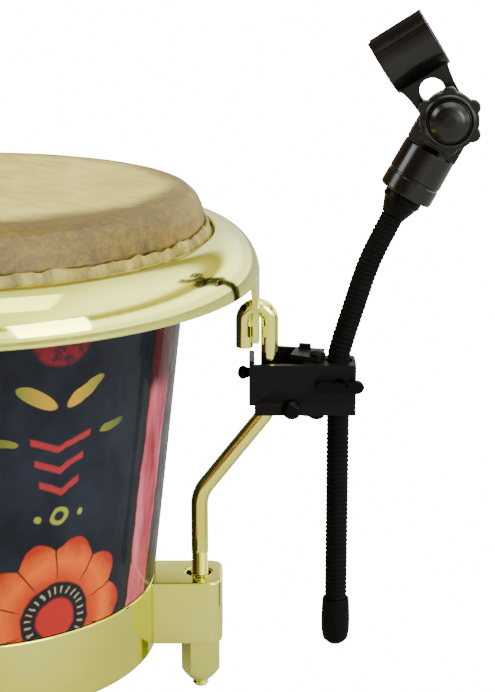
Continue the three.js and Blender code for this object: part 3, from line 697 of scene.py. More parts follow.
@dataclass(frozen=True)
class Hide(Finish):
    """Stretched rawhide: cloudy tan, long fibre streaks, a darker shoulder and pale scuffs."""

    name: str
    centre: tuple[float, float, float]
    radius: float
    top: float

    def make(self) -> bpy.types.Material:
        """Build the hide around its drum's axis: centre, radius and top are in metres."""
        material, recipe, shader = self.start()
        where = recipe.place((self.centre[0], self.centre[1], self.top))
        x, y, z = recipe.split(where)
        out = recipe.sum("SQRT", recipe.plus(recipe.times(x, x), recipe.times(y, y)))
        blotch = recipe.cloud(where, 26, 6, 0.62)
        streak = recipe.cloud(recipe.stretch(where, (1, 7, 3)), 42, 5, 0.65)
        fibre = recipe.cloud(recipe.stretch(where, (1, 16, 4)), 190, 3, 0.6)
        mottle = recipe.cloud(where, 320, 5, 0.75)
        pale = recipe.ramp(
            recipe.scaled(streak, 0.55, recipe.times(blotch, 0.5)),
            (0.32, (0.38, 0.30, 0.035)), (0.47, (0.57, 0.49, 0.08)), (0.56, (0.68, 0.60, 0.13)),
            (0.7, (0.76, 0.68, 0.22)),
        )
        brown = recipe.ramp(
            recipe.scaled(mottle, 0.45, recipe.times(blotch, 0.6)),
            (0.40, (0.030, 0.017, 0.001)), (0.49, (0.085, 0.055, 0.002)), (0.57, (0.17, 0.112, 0.005)),
            (0.70, (0.30, 0.21, 0.02)),
        )
        edge = recipe.scaled(recipe.less(blotch, 0.5), 0.03, out)
        front = recipe.sum("MAXIMUM", recipe.sum("DIVIDE", recipe.less(x, y), out), 0.0)
        edge = recipe.scaled(front, 0.012, edge)
        over = recipe.span(edge, self.radius - 0.022, self.radius - 0.008)
        side = recipe.span(recipe.scaled(blotch, 0.012, z), -0.012, 0.001)
        amber = recipe.mix(recipe.times(side, 0.30), brown, (0.20, 0.13, 0.006, 1))
        tinted = recipe.mix(over, pale, amber)
        trimmed = recipe.span(out, self.radius + 0.0006, self.radius + 0.0016)
        fringe = recipe.ramp(
            recipe.cloud(recipe.stretch(where, (1, 1, 0.4)), 150, 4, 0.7),
            (0.3, (0.08, 0.055, 0.003)), (0.5, (0.27, 0.21, 0.02)), (0.68, (0.46, 0.38, 0.07)),
        )
        base = recipe.mix(trimmed, tinted, fringe)
        scuff = recipe.span(fibre, 0.62, 0.74, 0.0, 0.3)
        recipe.feed(shader.inputs["Base Color"], recipe.mix(scuff, base, (0.66, 0.58, 0.30, 1)))
        recipe.feed(shader.inputs["Roughness"], recipe.span(blotch, 0.3, 0.7, 0.42, 0.6))
        height = recipe.scaled(fibre, 0.4, recipe.scaled(streak, 0.5, blotch))
        recipe.feed(shader.inputs["Normal"], recipe.bump(height, 0.35, 0.55))
        shader.inputs["Coat Weight"].default_value = 0.1
        shader.inputs["Coat Roughness"].default_value = 0.35
        return material


@dataclass(frozen=True)
class Lacquer(Finish):
    """Clear gloss over a plain repeated pattern of flowers, chevrons and stripes on near-black blue."""

    name: str
    centre: tuple[float, float, float]
    radius: float
    axis: float = -17

    def make(self) -> bpy.types.Material:
        """Build the painting around the drum's axis: centre and radius are in metres."""
        material, recipe, shader = self.start()
        where = recipe.place(self.centre)
        u, v = self.unrolled(recipe, where)
        ink = recipe.ramp(
            recipe.cloud(where, 34, 5, 0.6), (0.35, (0.0035, 0.005, 0.011)), (0.62, (0.011, 0.015, 0.027)),
        )
        painted = ink
        for motif in (self.stripe, self.flower, self.chevrons, self.leaves, self.dots):
            painted = motif(recipe, where, u, v, painted)
        recipe.feed(shader.inputs["Base Color"], painted)
        strokes = recipe.cloud(recipe.stretch(where, (1, 1, 0.3)), 420, 3, 0.6)
        recipe.feed(shader.inputs["Roughness"], recipe.span(strokes, 0.3, 0.7, 0.3, 0.5))
        recipe.feed(shader.inputs["Normal"], recipe.bump(recipe.cloud(where, 60, 2), 0.03, 0.35))
        shader.inputs["Specular IOR Level"].default_value = 0.1
        shader.inputs["Coat Weight"].default_value = 0.2
        shader.inputs["Coat Roughness"].default_value = 0.03
        return material

    def unrolled(self, recipe: Recipe, where: Socket) -> tuple[Socket, Socket]:
        """The painting's own millimetres: across a quarter of the drum, and up from the ring.

        Args:
            recipe: The material's recipe.
            where: Coordinates about the drum's axis.

        Returns:
            The across and up values, with a hand's wobble.
        """
        x, y, z = recipe.split(where)
        angle = recipe.sum("ARCTAN2", y, x)
        turn = recipe.sum("FLOORED_MODULO", recipe.plus(angle, math.pi / LUG_COUNT), TURN / LUG_COUNT)
        wobble = recipe.less(recipe.cloud(where, 55, 3, 0.6), 0.5)
        flat = recipe.times(recipe.less(turn, math.pi / LUG_COUNT), self.radius / MM)
        u = recipe.scaled(wobble, 5, flat)
        v = recipe.scaled(wobble, -4, recipe.sum("DIVIDE", z, MM))
        return u, v

    @staticmethod
    def polar(recipe: Recipe, u: Socket, v: Socket, at: Point, squeeze: float = 1.0) -> tuple[Socket, Socket]:
        """Distance and angle from a point, in millimetres and radians."""
        across = recipe.less(u, at[0])
        up = recipe.times(recipe.less(v, at[1]), squeeze)
        square = recipe.plus(recipe.times(across, across), recipe.times(up, up))
        return recipe.sum("SQRT", square), recipe.sum("ARCTAN2", up, across)

    @staticmethod
    def stroke(recipe: Recipe, distance: Socket, half: float, soft: float = 0.5) -> Socket:
        """One inside a distance of half, falling to none just outside."""
        return recipe.span(distance, half - soft, half + soft, 1.0, 0.0)

    def ring(self, recipe: Recipe, away: Socket, radius: float, half: float) -> Socket:
        """A line around a point."""
        return self.stroke(recipe, recipe.size(recipe.less(away, radius)), half)

    def flower(self, recipe: Recipe, where: Socket, u: Socket, v: Socket, under: Socket) -> Socket:
        """An open flower: even orange petals, a dark collar with pale flecks and a red heart."""
        away, angle = self.polar(recipe, u, v, (self.axis, 37))
        lobes = recipe.size(recipe.sum("COSINE", recipe.times(angle, 5)))
        inside = recipe.less(recipe.scaled(lobes, 5.5, 28), away)
        veins = recipe.cloud(recipe.stretch(where, (1, 1, 0.5)), 150, 4, 0.7)
        orange = recipe.ramp(
            recipe.sum("DIVIDE", recipe.scaled(veins, 9, away), 42),
            (0.35, (0.20, 0.012, 0.006)), (0.52, (0.50, 0.045, 0.008)), (0.68, (0.68, 0.12, 0.010)),
            (0.86, (0.36, 0.022, 0.008)),
        )
        seams = recipe.times(recipe.span(lobes, 0.0, 0.14, 1.0, 0.0), recipe.span(away, 15, 20))
        out = recipe.mix(recipe.span(inside, -0.4, 0.6), under, recipe.mix(seams, orange, (0.05, 0.008, 0.006, 1)))
        out = recipe.mix(self.stroke(recipe, away, 15.5), out, (0.008, 0.009, 0.012, 1))
        rays = recipe.sum("SINE", recipe.scaled(veins, 6, recipe.times(angle, 26)))
        flecks = recipe.times(self.ring(recipe, away, 12.2, 1.5), recipe.span(rays, 0.3, 0.8))
        out = recipe.mix(recipe.times(flecks, 0.7), out, (0.40, 0.32, 0.20, 1))
        return recipe.mix(self.stroke(recipe, away, 8.6, 0.8), out, (0.38, 0.018, 0.014, 1))

    def chevrons(self, recipe: Recipe, where: Socket, u: Socket, v: Socket, under: Socket) -> Socket:
        """Three red chevrons over each flower, and a broken red disc at the top."""
        out = under
        across = recipe.size(recipe.less(u, self.axis))
        for height, reach in ((90, 8), (98, 10), (106, 12)):
            rise = recipe.less(recipe.scaled(across, -0.45, v), height)
            line = self.stroke(recipe, recipe.size(rise), 1.3)
            short = recipe.times(line, self.stroke(recipe, across, reach))
            out = recipe.mix(short, out, (0.30, 0.022, 0.026, 1))
        away, _ = self.polar(recipe, u, v, (self.axis, 150))
        broken = recipe.span(recipe.cloud(where, 110, 4, 0.7), 0.38, 0.52, 0.2, 0.9)
        disc = recipe.times(self.stroke(recipe, away, 11, 1.2), broken)
        return recipe.mix(disc, out, (0.20, 0.010, 0.020, 1))

    def leaves(self, recipe: Recipe, where: Socket, u: Socket, v: Socket, under: Socket) -> Socket:
        """A pair of leaves over the chevrons and a smaller pair beside them, yellow at the stem and green outside."""
        out = under
        across = recipe.size(recipe.less(u, self.axis))
        tone = recipe.ramp(
            recipe.sum("DIVIDE", across, 30), (0.15, (0.48, 0.28, 0.020)), (0.5, (0.20, 0.20, 0.025)),
            (0.9, (0.06, 0.085, 0.022)),
        )
        for (at, height), tilt, long, wide in (((9.5, 128), 0.55, 9, 2.9), ((22, 112), 0.2, 6, 1.7)):
            x = recipe.less(across, at)
            y = recipe.less(v, height)
            run = recipe.scaled(x, math.cos(tilt), recipe.times(y, math.sin(tilt)))
            off = recipe.scaled(x, -math.sin(tilt), recipe.times(y, math.cos(tilt)))
            far = recipe.plus(recipe.sum("POWER", recipe.sum("DIVIDE", run, long), 2.0),
                             recipe.sum("POWER", recipe.sum("DIVIDE", off, wide), 2.0))
            out = recipe.mix(recipe.span(far, 0.8, 1.1, 1.0, 0.0), out, tone)
        return out

    def dots(self, recipe: Recipe, where: Socket, u: Socket, v: Socket, under: Socket) -> Socket:
        """A small lime ring over each flower with a dot at each side."""
        out = under
        away, _ = self.polar(recipe, u, v, (self.axis, 80))
        out = recipe.mix(self.ring(recipe, away, 3, 0.9), out, (0.26, 0.29, 0.03, 1))
        for at in (-9, 9):
            near, _ = self.polar(recipe, u, v, (self.axis + at, 80))
            out = recipe.mix(self.stroke(recipe, near, 1.3), out, (0.26, 0.29, 0.03, 1))
        return out

    def stripe(self, recipe: Recipe, where: Socket, u: Socket, v: Socket, under: Socket) -> Socket:
        """An upright pink stripe with dark edges beside each flower."""
        off = recipe.less(u, recipe.scaled(v, 0.055, 30))
        washed = recipe.ramp(
            recipe.cloud(recipe.stretch(where, (1, 1, 0.2)), 75, 4, 0.6),
            (0.35, (0.26, 0.012, 0.040)), (0.5, (0.50, 0.07, 0.12)), (0.65, (0.60, 0.18, 0.22)),
        )
        top = recipe.span(v, 114, 124)
        washed = recipe.mix(top, washed, (0.05, 0.003, 0.006, 1))
        out = recipe.mix(self.stroke(recipe, recipe.size(off), 9.5), under, washed)
        for at, half in ((-10, 1.5), (10, 1.2)):
            line = self.stroke(recipe, recipe.size(recipe.less(off, at)), half)
            out = recipe.mix(line, out, (0.006, 0.005, 0.006, 1))
        return out


@dataclass(frozen=True)
class StainedWood(Finish):
    """Black stained wood under gloss, with its grain still to be seen."""

    name: str

    def make(self) -> bpy.types.Material:
        """Build the stained wood."""
        material, recipe, shader = self.start()
        where = recipe.place()
        rings = recipe.cloud(recipe.stretch(where, (0.5, 9, 4)), 38, 5, 0.65)
        recipe.feed(shader.inputs["Base Color"], recipe.ramp(
            rings, (0.35, (0.006, 0.006, 0.007)), (0.55, (0.018, 0.016, 0.015)), (0.7, (0.035, 0.03, 0.026))))
        recipe.feed(shader.inputs["Roughness"], recipe.span(rings, 0.3, 0.7, 0.22, 0.38))
        recipe.feed(shader.inputs["Normal"], recipe.bump(rings, 0.12, 0.5))
        shader.inputs["Coat Weight"].default_value = 0.6
        shader.inputs["Coat Roughness"].default_value = 0.12
        return material


GOLD = Plating("gold_plating", (0.93, 0.97, 0.22), (0.82, 0.83, 0.12))
ZINC = Plating("zinc_plating", (0.62, 0.62, 0.60), (0.48, 0.48, 0.46), 0.22, 0.38, 0.02)
BRIGHT_STEEL = Plating("bright_steel", (0.86, 0.85, 0.82), (0.66, 0.64, 0.58), 0.08, 0.2, 0.008)
POWDER_COAT = Coating(
    "black_powder_coat", (0.0016, 0.0016, 0.0020), (0.012, 0.012, 0.012),
    lowest=0.28, highest=0.42, grain=900, depth=0.05, wear=0.4, gloss=0.08,
)
PLASTIC = Coating(
    "moulded_plastic", (0.0022, 0.0020, 0.0019), (0.016, 0.015, 0.014),
    lowest=0.18, highest=0.28, grain=1400, depth=0.02, wear=0.4, dust=0.01, gloss=0.4,
)
RUBBER = Coating(
    "matt_rubber", (0.0020, 0.0024, 0.0025), (0.008, 0.008, 0.008),
    lowest=0.5, highest=0.68, grain=1700, depth=0.03, wear=0.3, dust=0.008, gloss=0.06,
)
WOOD = StainedWood("black_stained_wood")


class Kind(Enum):
    """The two drums of a pair."""

    SMALL = "macho"
    LARGE = "hembra"


# ---------------------------------------------------------------- the drums
@dataclass
class Drum:
    """One drum: its sizes in millimetres, from its own axis and its ring's underside."""

    kind: Kind
    shell_top: float
    shell_bottom: float
    ring_height: float = 30
    ring_band: float = 2.3
    ring_lip: float = 9
    ear_reach: float = 27.5
    ear_width: float = 26
    head_top: float = 190
    flare: float = 4.6
    hoop_height: float = 162.4
    hoop_radius: float = 2.9
    rim_top: float = 174
    rim_bottom: float = 156.3
    rim_wall: float = 2.6
    tongue_bottom: float = 130
    tongue_bar: float = 134.6
    tongue_window: float = 147
    tongue_wall: float = 2.2
    rod_radius: float = 3.5
    hook_radius: float = 5
    hook_centre: float = 137.4
    shell_height: float = 187.6
    shell_wall: float = 9
    thread_top: float = 41
    play: float = 0.3
    around: int = 144
    origin: Vector = field(default_factory=Vector)

    def __post_init__(self) -> None:
        """Find the drum's axis and its ring's underside in the frame."""
        low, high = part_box(self.node("bottom_ring"))
        self.origin = Vector(((low.x + high.x) / 2, (low.y + high.y) / 2, low.z))

    def node(self, part: str) -> str:
        """The frame's name for one of this drum's parts."""
        return f"{self.kind.value}_{part}"

    @property
    def place(self) -> Matrix:
        """From the drum's own frame to the row frame."""
        return Matrix.Translation(self.origin)

    @property
    def side(self) -> float:
        """The skin's radius where it hangs straight."""
        return self.shell_top + self.flare

    @property
    def hook_at(self) -> float:
        """The radius of the rods' upper legs."""
        return self.shell_top + 30.4

    @property
    def rod_at(self) -> float:
        """The radius of the rods' lower legs."""
        return self.shell_bottom + 18.7

    @property
    def rim_outer(self) -> float:
        """The rim's largest radius."""
        return self.hook_at - self.hook_radius + self.tongue_wall / 2

    def shell_radius(self, height: float) -> float:
        """The shell's outer radius at a height."""
        slope = (self.shell_top - self.shell_bottom) / (self.shell_height - self.ring_height)
        return self.shell_bottom + slope * (height - self.ring_height)

    def lug_turns(self) -> list[Matrix]:
        """The turn to each lug."""
        return [about_z(FIRST_LUG + i * TURN / LUG_COUNT) for i in range(LUG_COUNT)]

    def finished(self, obj: bpy.types.Object, finish: Finish, slot: str, body: str, *nodes: str) -> bpy.types.Object:
        """Lay a finish on a piece and hand it to its body."""
        finish.dress(obj)
        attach(obj, body)
        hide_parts(*nodes)
        LOG.info("%s rides on %s", obj.name, body)
        return obj

    def build(self) -> None:
        """Make all of the drum's pieces."""
        self.shell()
        self.head()
        self.rim()
        self.ring()
        self.rods()
        self.nuts()

    def shell(self) -> bpy.types.Object:
        """The tapered shell, under its painting and gloss."""
        foot = self.shell_bottom + 0.5 - self.ring_band - self.play
        seat, step = 2.9, self.ring_height + self.play
        outline = [
            (self.shell_radius(seat) - self.shell_wall, seat), (foot, seat, 0.5), (foot, step),
            (self.shell_radius(step), step, 0.4), (self.shell_top, self.shell_height - 7, 6),
            (self.shell_top - 0.9, 184.5, 3), (self.shell_top - self.shell_wall, self.shell_height, 1.5),
        ]
        obj = turned(f"{self.kind.value}_lacquered_shell", outline, self.around, closed=True)
        settle(obj, self.place)
        smoothed(obj, 30)
        centre = tuple(self.origin)
        art = Lacquer(f"{self.kind.value}_painted_lacquer", centre, self.shell_radius(90) * MM)
        return self.finished(obj, art, "shell_lacquer", "drums", self.node("shell"))

    def head(self) -> bpy.types.Object:
        """The skin, with its shoulder, its side and the crinkled edge that stands up outside it."""
        side = self.side
        outline = [
            (0, 188.2), (side - 11.6, 188.2, 3), (side - 3.9, 185.2, 3), (side - 1.8, 178, 4), (side - 1.8, 158.5),
            (side, 158.5), (side, 169.8), (side + 3.4, 169.8, 0.8), (side + 3.2, 172.5), (side + 2.7, 175),
            (side + 1.9, 177.5, 0.5), (side + 0.8, 177.3, 0.5), (side + 0.2, 174.6, 0.4), (side, 178.2, 1),
            (side - 0.8, 182.6, 5), (side - 2.3, 186.2, 3), (side - 5.3, 188.9, 4), (side - 11, 190, 8), (0, 190),
        ]
        obj = turned(f"{self.kind.value}_rawhide_head", outline, 360)
        for vertex in obj.data.vertices:
            self.crinkle(vertex)
        settle(obj, self.place)
        smoothed(obj, 60)
        hide = Hide(f"{self.kind.value}_rawhide", tuple(self.origin), side * MM, self.origin.z + self.head_top * MM)
        hide.dress(obj)
        self.node("tuning")
        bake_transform(obj)
        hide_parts(self.node("head"))
        LOG.info("%s blends from drums to %s", obj.name, self.node("tuning"))
        return obj

    def crinkle(self, vertex: bpy.types.MeshVertex) -> None:
        """Ripple one point of the skin: strongly on the standing edge, slightly on the shoulder.

        Args:
            vertex: A point of the skin, about the drum's own axis, in metres.
        """
        x, y, z = vertex.co / MM
        out = math.hypot(x, y)
        angle = math.atan2(y, x)
        around = Vector((math.cos(angle), math.sin(angle), 0))
        if out > self.side + 0.15 and z > 171:
            share = min(1, (z - 171) / 5)
            wave = noise.noise(around * 13 + Vector((0, 0, z * 0.05))) + 0.6 * noise.noise(around * 34)
            vertex.co += around * (-0.45 + 0.75 * wave) * share * MM
            vertex.co.z += (noise.noise(around * 19 + Vector((5, 0, 0))) * 1.5 - 0.5) * share * MM
        elif 177.5 < z < 189.9 and out > self.side - 12:
            vertex.co += around * noise.noise(around * 5 + Vector((0, 9, z * 0.06))) * 0.35 * MM

    def rim(self) -> bpy.types.Object:
        """The broad rounded rim, with a windowed tongue for each rod's hook."""
        inner = self.side + 4
        crest = inner + 1
        outer = self.rim_outer
        width = outer - crest
        rise = self.rim_top - self.rim_bottom
        bow = [math.radians(90 - 90 * i / 12) for i in range(13)]
        outside = [(crest + width * math.cos(a), self.rim_bottom + rise * math.sin(a)) for a in bow]
        within = width - self.rim_wall
        under = [(crest + 0.6 + (within - 0.6) * math.cos(a), self.rim_bottom + (rise - self.rim_wall) * math.sin(a))
                 for a in reversed(bow[1:])]
        foot = self.hoop_height + self.hoop_radius + 0.3
        outline = [
            (inner, foot, 0.4), (inner, self.rim_top - 0.6), (inner + 0.4, self.rim_top - 0.1), *outside,
            (outer - 0.5, self.rim_bottom - 0.5), (outer - self.rim_wall + 0.5, self.rim_bottom - 0.5), *under,
            (inner + self.rim_wall, self.rim_top - self.rim_wall - 0.6, 1), (inner + self.rim_wall, foot, 0.4),
        ]
        obj = turned(f"{self.kind.value}_comfort_rim", outline, 180, closed=True)
        combined(obj, *self.tongues(outer))
        settle(obj, self.place)
        smoothed(cleaned(obj), 28)
        return self.finished(obj, GOLD, "gold_plate", self.node("tuning"), self.node("rim"))

    def tongues(self, outer: float) -> list[bpy.types.Object]:
        """The four plates that hang from the rim, curved as it is, each with a window."""
        sleeve = turned(
            "sleeve",
            [(outer - self.tongue_wall, self.tongue_bottom), (outer, self.tongue_bottom),
             (outer, self.rim_bottom + 1.5), (outer - self.tongue_wall, self.rim_bottom + 1.5)],
            180, closed=True,
        )
        low, mid, high = self.tongue_bottom - 1, self.tongue_window - 6, self.rim_bottom + 6
        plate = slab("plate", [(-10.5, low, 0), (10.5, low, 0), (10.5, mid, 9), (24, high), (-24, high),
                               (-10.5, mid, 9)], 80, 140)
        window = slab("window", [(-5, self.tongue_bar, 1.2), (5, self.tongue_bar, 1.2),
                                 (5, self.tongue_window, 3.5), (-5, self.tongue_window, 3.5)], 79, 141)
        combined(plate, window, how="DIFFERENCE")
        settle(plate, stood_across())
        combined(plate, sleeve, how="INTERSECT")
        bevelled(cleaned(plate), 0.5, 2, 50)
        made = [copied(plate, "tongue", turn) for turn in self.lug_turns()]
        bpy.data.objects.remove(plate)
        return made

    def ring(self) -> bpy.types.Object:
        """The bottom ring with its four solid ears."""
        outer = self.shell_bottom + 0.5
        wall = outer - self.ring_band
        outline = [
            (wall - self.ring_lip, 0, 0.4), (wall - self.ring_lip, 2.6, 0.8), (wall, 2.6),
            (wall, self.ring_height, 0.3), (outer, self.ring_height, 1), (outer, 0, 2.2),
        ]
        obj = turned(f"{self.kind.value}_foot_ring", outline, self.around, closed=True)
        end = outer + self.ear_reach
        half = self.ear_width / 2
        ear = slab("ear", [(wall + 1, -half), (end, -half, 5.5), (end, half, 5.5), (wall + 1, half)],
                   3, self.ring_height)
        slot_at = self.rod_at - 0.6
        slot = slab("slot", [(slot_at - 5, -4.6, 4.5), (slot_at + 5, -4.6, 4.5), (slot_at + 5, 4.6, 4.5),
                             (slot_at - 5, 4.6, 4.5)], 0, self.ring_height + 1)
        hollow = rod_shape("hollow", wall + 0.4, -1, self.ring_height + 2, self.around)
        combined(ear, slot, hollow, how="DIFFERENCE")
        bevelled(cleaned(ear), 1.1, 3, 50)
        ears = [copied(ear, "ear_copy", turn) for turn in self.lug_turns()]
        bpy.data.objects.remove(ear)
        combined(obj, *ears)
        settle(obj, self.place)
        smoothed(cleaned(obj), 30)
        return self.finished(obj, GOLD, "gold_plate", "drums", self.node("bottom_ring"))

    def rods(self) -> None:
        """The four cranked and hooked tuning rods, with rolled threads at the foot."""
        lower, upper = self.rod_at, self.hook_at
        top = self.hook_centre
        path = rounded([(lower, 39), (lower, 64.2, 14), (upper, 100.4, 14), (upper, top)], closed=False, steps=10)
        path = [(lower, 39), *path[1:]]
        path += arc(upper - self.hook_radius, top, self.hook_radius, 0, math.pi, 16)[1:]
        path += [(upper - 2 * self.hook_radius, 131), (upper - 2 * self.hook_radius, 126)]
        rod = swept("rod", [(x, 0, z) for x, z in path], self.rod_radius, 24)
        bevelled(rod, 0.7, 3, 60)
        combined(rod, self.thread(lower))
        smoothed(cleaned(rod), 40)
        for number, turn in enumerate(self.lug_turns(), 1):
            name = f"{self.kind.value}_hooked_rod_{number}"
            obj = copied(rod, name, self.place @ turn)
            self.finished(obj, GOLD, "gold_plate", self.node("tuning"), self.node(f"tuning_rod_{number}"))
        bpy.data.objects.remove(rod)

    def thread(self, at: float) -> bpy.types.Object:
        """The rod's threaded foot, as close grooves."""
        foot, lead, pitch = -20.5, 0.7, 1.25
        root, crest = self.rod_radius - 0.55, self.rod_radius - 0.02
        rows = thread_rows(root, crest, foot + lead, self.thread_top, pitch)
        end = rows[-1][1] + pitch / 2
        outline = [(0, foot), (self.rod_radius - 0.9, foot), *rows, (root, end), (0, end)]
        return settle(turned("thread", outline, 24), shift(at))

    def nuts(self) -> None:
        """The four long nuts under the ears, flanged above and tapered below."""
        top, foot, corner = 2.7, -16.8, 8.08
        hexagon = [(x, y, 0.5) for x, y in arc(0, 0, corner, 0, TURN, 6)[:-1]]
        nut = slab("nut", hexagon, foot, top - 1)
        body = turned("envelope", [(0, foot), (4.8, foot, 0.4), (8.3, foot + 4), (8.3, top - 2.6), (7.2, top - 1.2),
                                   (0, top - 1.2)], 48)
        combined(nut, body, how="INTERSECT")
        bevelled(cleaned(nut), 0.25, 2, 25)
        washer = [(0, top - 1.8), (8, top - 1.8), (8.6, top - 1.2, 0.4), (8.6, top, 0.3), (0, top)]
        combined(nut, turned("flange", washer, 48))
        combined(nut, rod_shape("bore", self.rod_radius + 0.25, -20, 5, 32), how="DIFFERENCE")
        smoothed(cleaned(nut), 30)
        for number, turn in enumerate(self.lug_turns(), 1):
            obj = copied(nut, f"{self.kind.value}_long_nut_{number}", self.place @ turn @ shift(self.rod_at))
            self.finished(obj, GOLD, "gold_plate", self.node(f"nut_{number}"), self.node(f"tuning_nut_{number}"))
        bpy.data.objects.remove(nut)


@dataclass
class Bridge:
    """The block between the drums, and the finish of the plates and bolts inside the shells."""

    small: Drum
    large: Drum
    bottom: float = 64
    top: float = 124
    depth: float = 66
    inset: float = 14

    def build(self) -> None:
        """Make the block, and give the load plates, bolts and flesh hoops their finish."""
        gap = (self.small.origin.x - self.large.origin.x) / MM
        near = -self.small.shell_radius(self.bottom) + self.inset
        far = -gap + self.large.shell_radius(self.bottom) - self.inset
        half = self.depth / 2
        corners = [(far, -half), (near, -half), (near, half), (far, half)]
        block = slab("bridge_block_wood", corners, self.bottom, self.top)
        for drum, x in ((self.small, 0.0), (self.large, -gap)):
            low, high = drum.ring_height, drum.shell_height
            wide = [drum.shell_radius(z) + drum.play for z in (low, high)]
            cone = turned("cone", [(0, low), (wide[0], low), (wide[1], high), (0, high)], drum.around)
            combined(block, settle(cone, shift(x)), how="DIFFERENCE")
        bevelled(cleaned(block), 1.6, 3, 40)
        settle(block, self.small.place)
        smoothed(block, 35)
        WOOD.dress(block)
        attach(block, "drums")
        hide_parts("bridge_block")
        for drum in (self.small, self.large):
            for part in ("bridge_plate", "bridge_bolt_lower", "bridge_bolt_upper", "flesh_hoop"):
                ZINC.dress(frame["nodes"][drum.node(part)])
        LOG.info("bridge block between the shells")


# ---------------------------------------------------------------- the microphone holder
@dataclass
class Holder:
    """What every part of the microphone holder shares: the lug's own frame."""

    drum: Drum

    @property
    def place(self) -> Matrix:
        """From the lug's frame, x outwards and z up, to the row frame."""
        return self.drum.place @ about_z(FIRST_LUG)

    def point(self, x: float, z: float) -> Vector:
        """A point of the lug's plane, given in millimetres, in the row frame."""
        return self.place @ (Vector((x, 0, z)) * MM)

    def finished(
        self, obj: bpy.types.Object, finish: Finish, slot: str, body: str, node: str, sharp: float = 35
    ) -> bpy.types.Object:
        """Smooth, place and dress a piece made in the lug's frame, and hand it to its body."""
        settle(obj, self.place)
        smoothed(obj, sharp)
        finish.dress(obj)
        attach(obj, body)
        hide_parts(node)
        LOG.info("%s rides on %s", obj.name, body)
        return obj


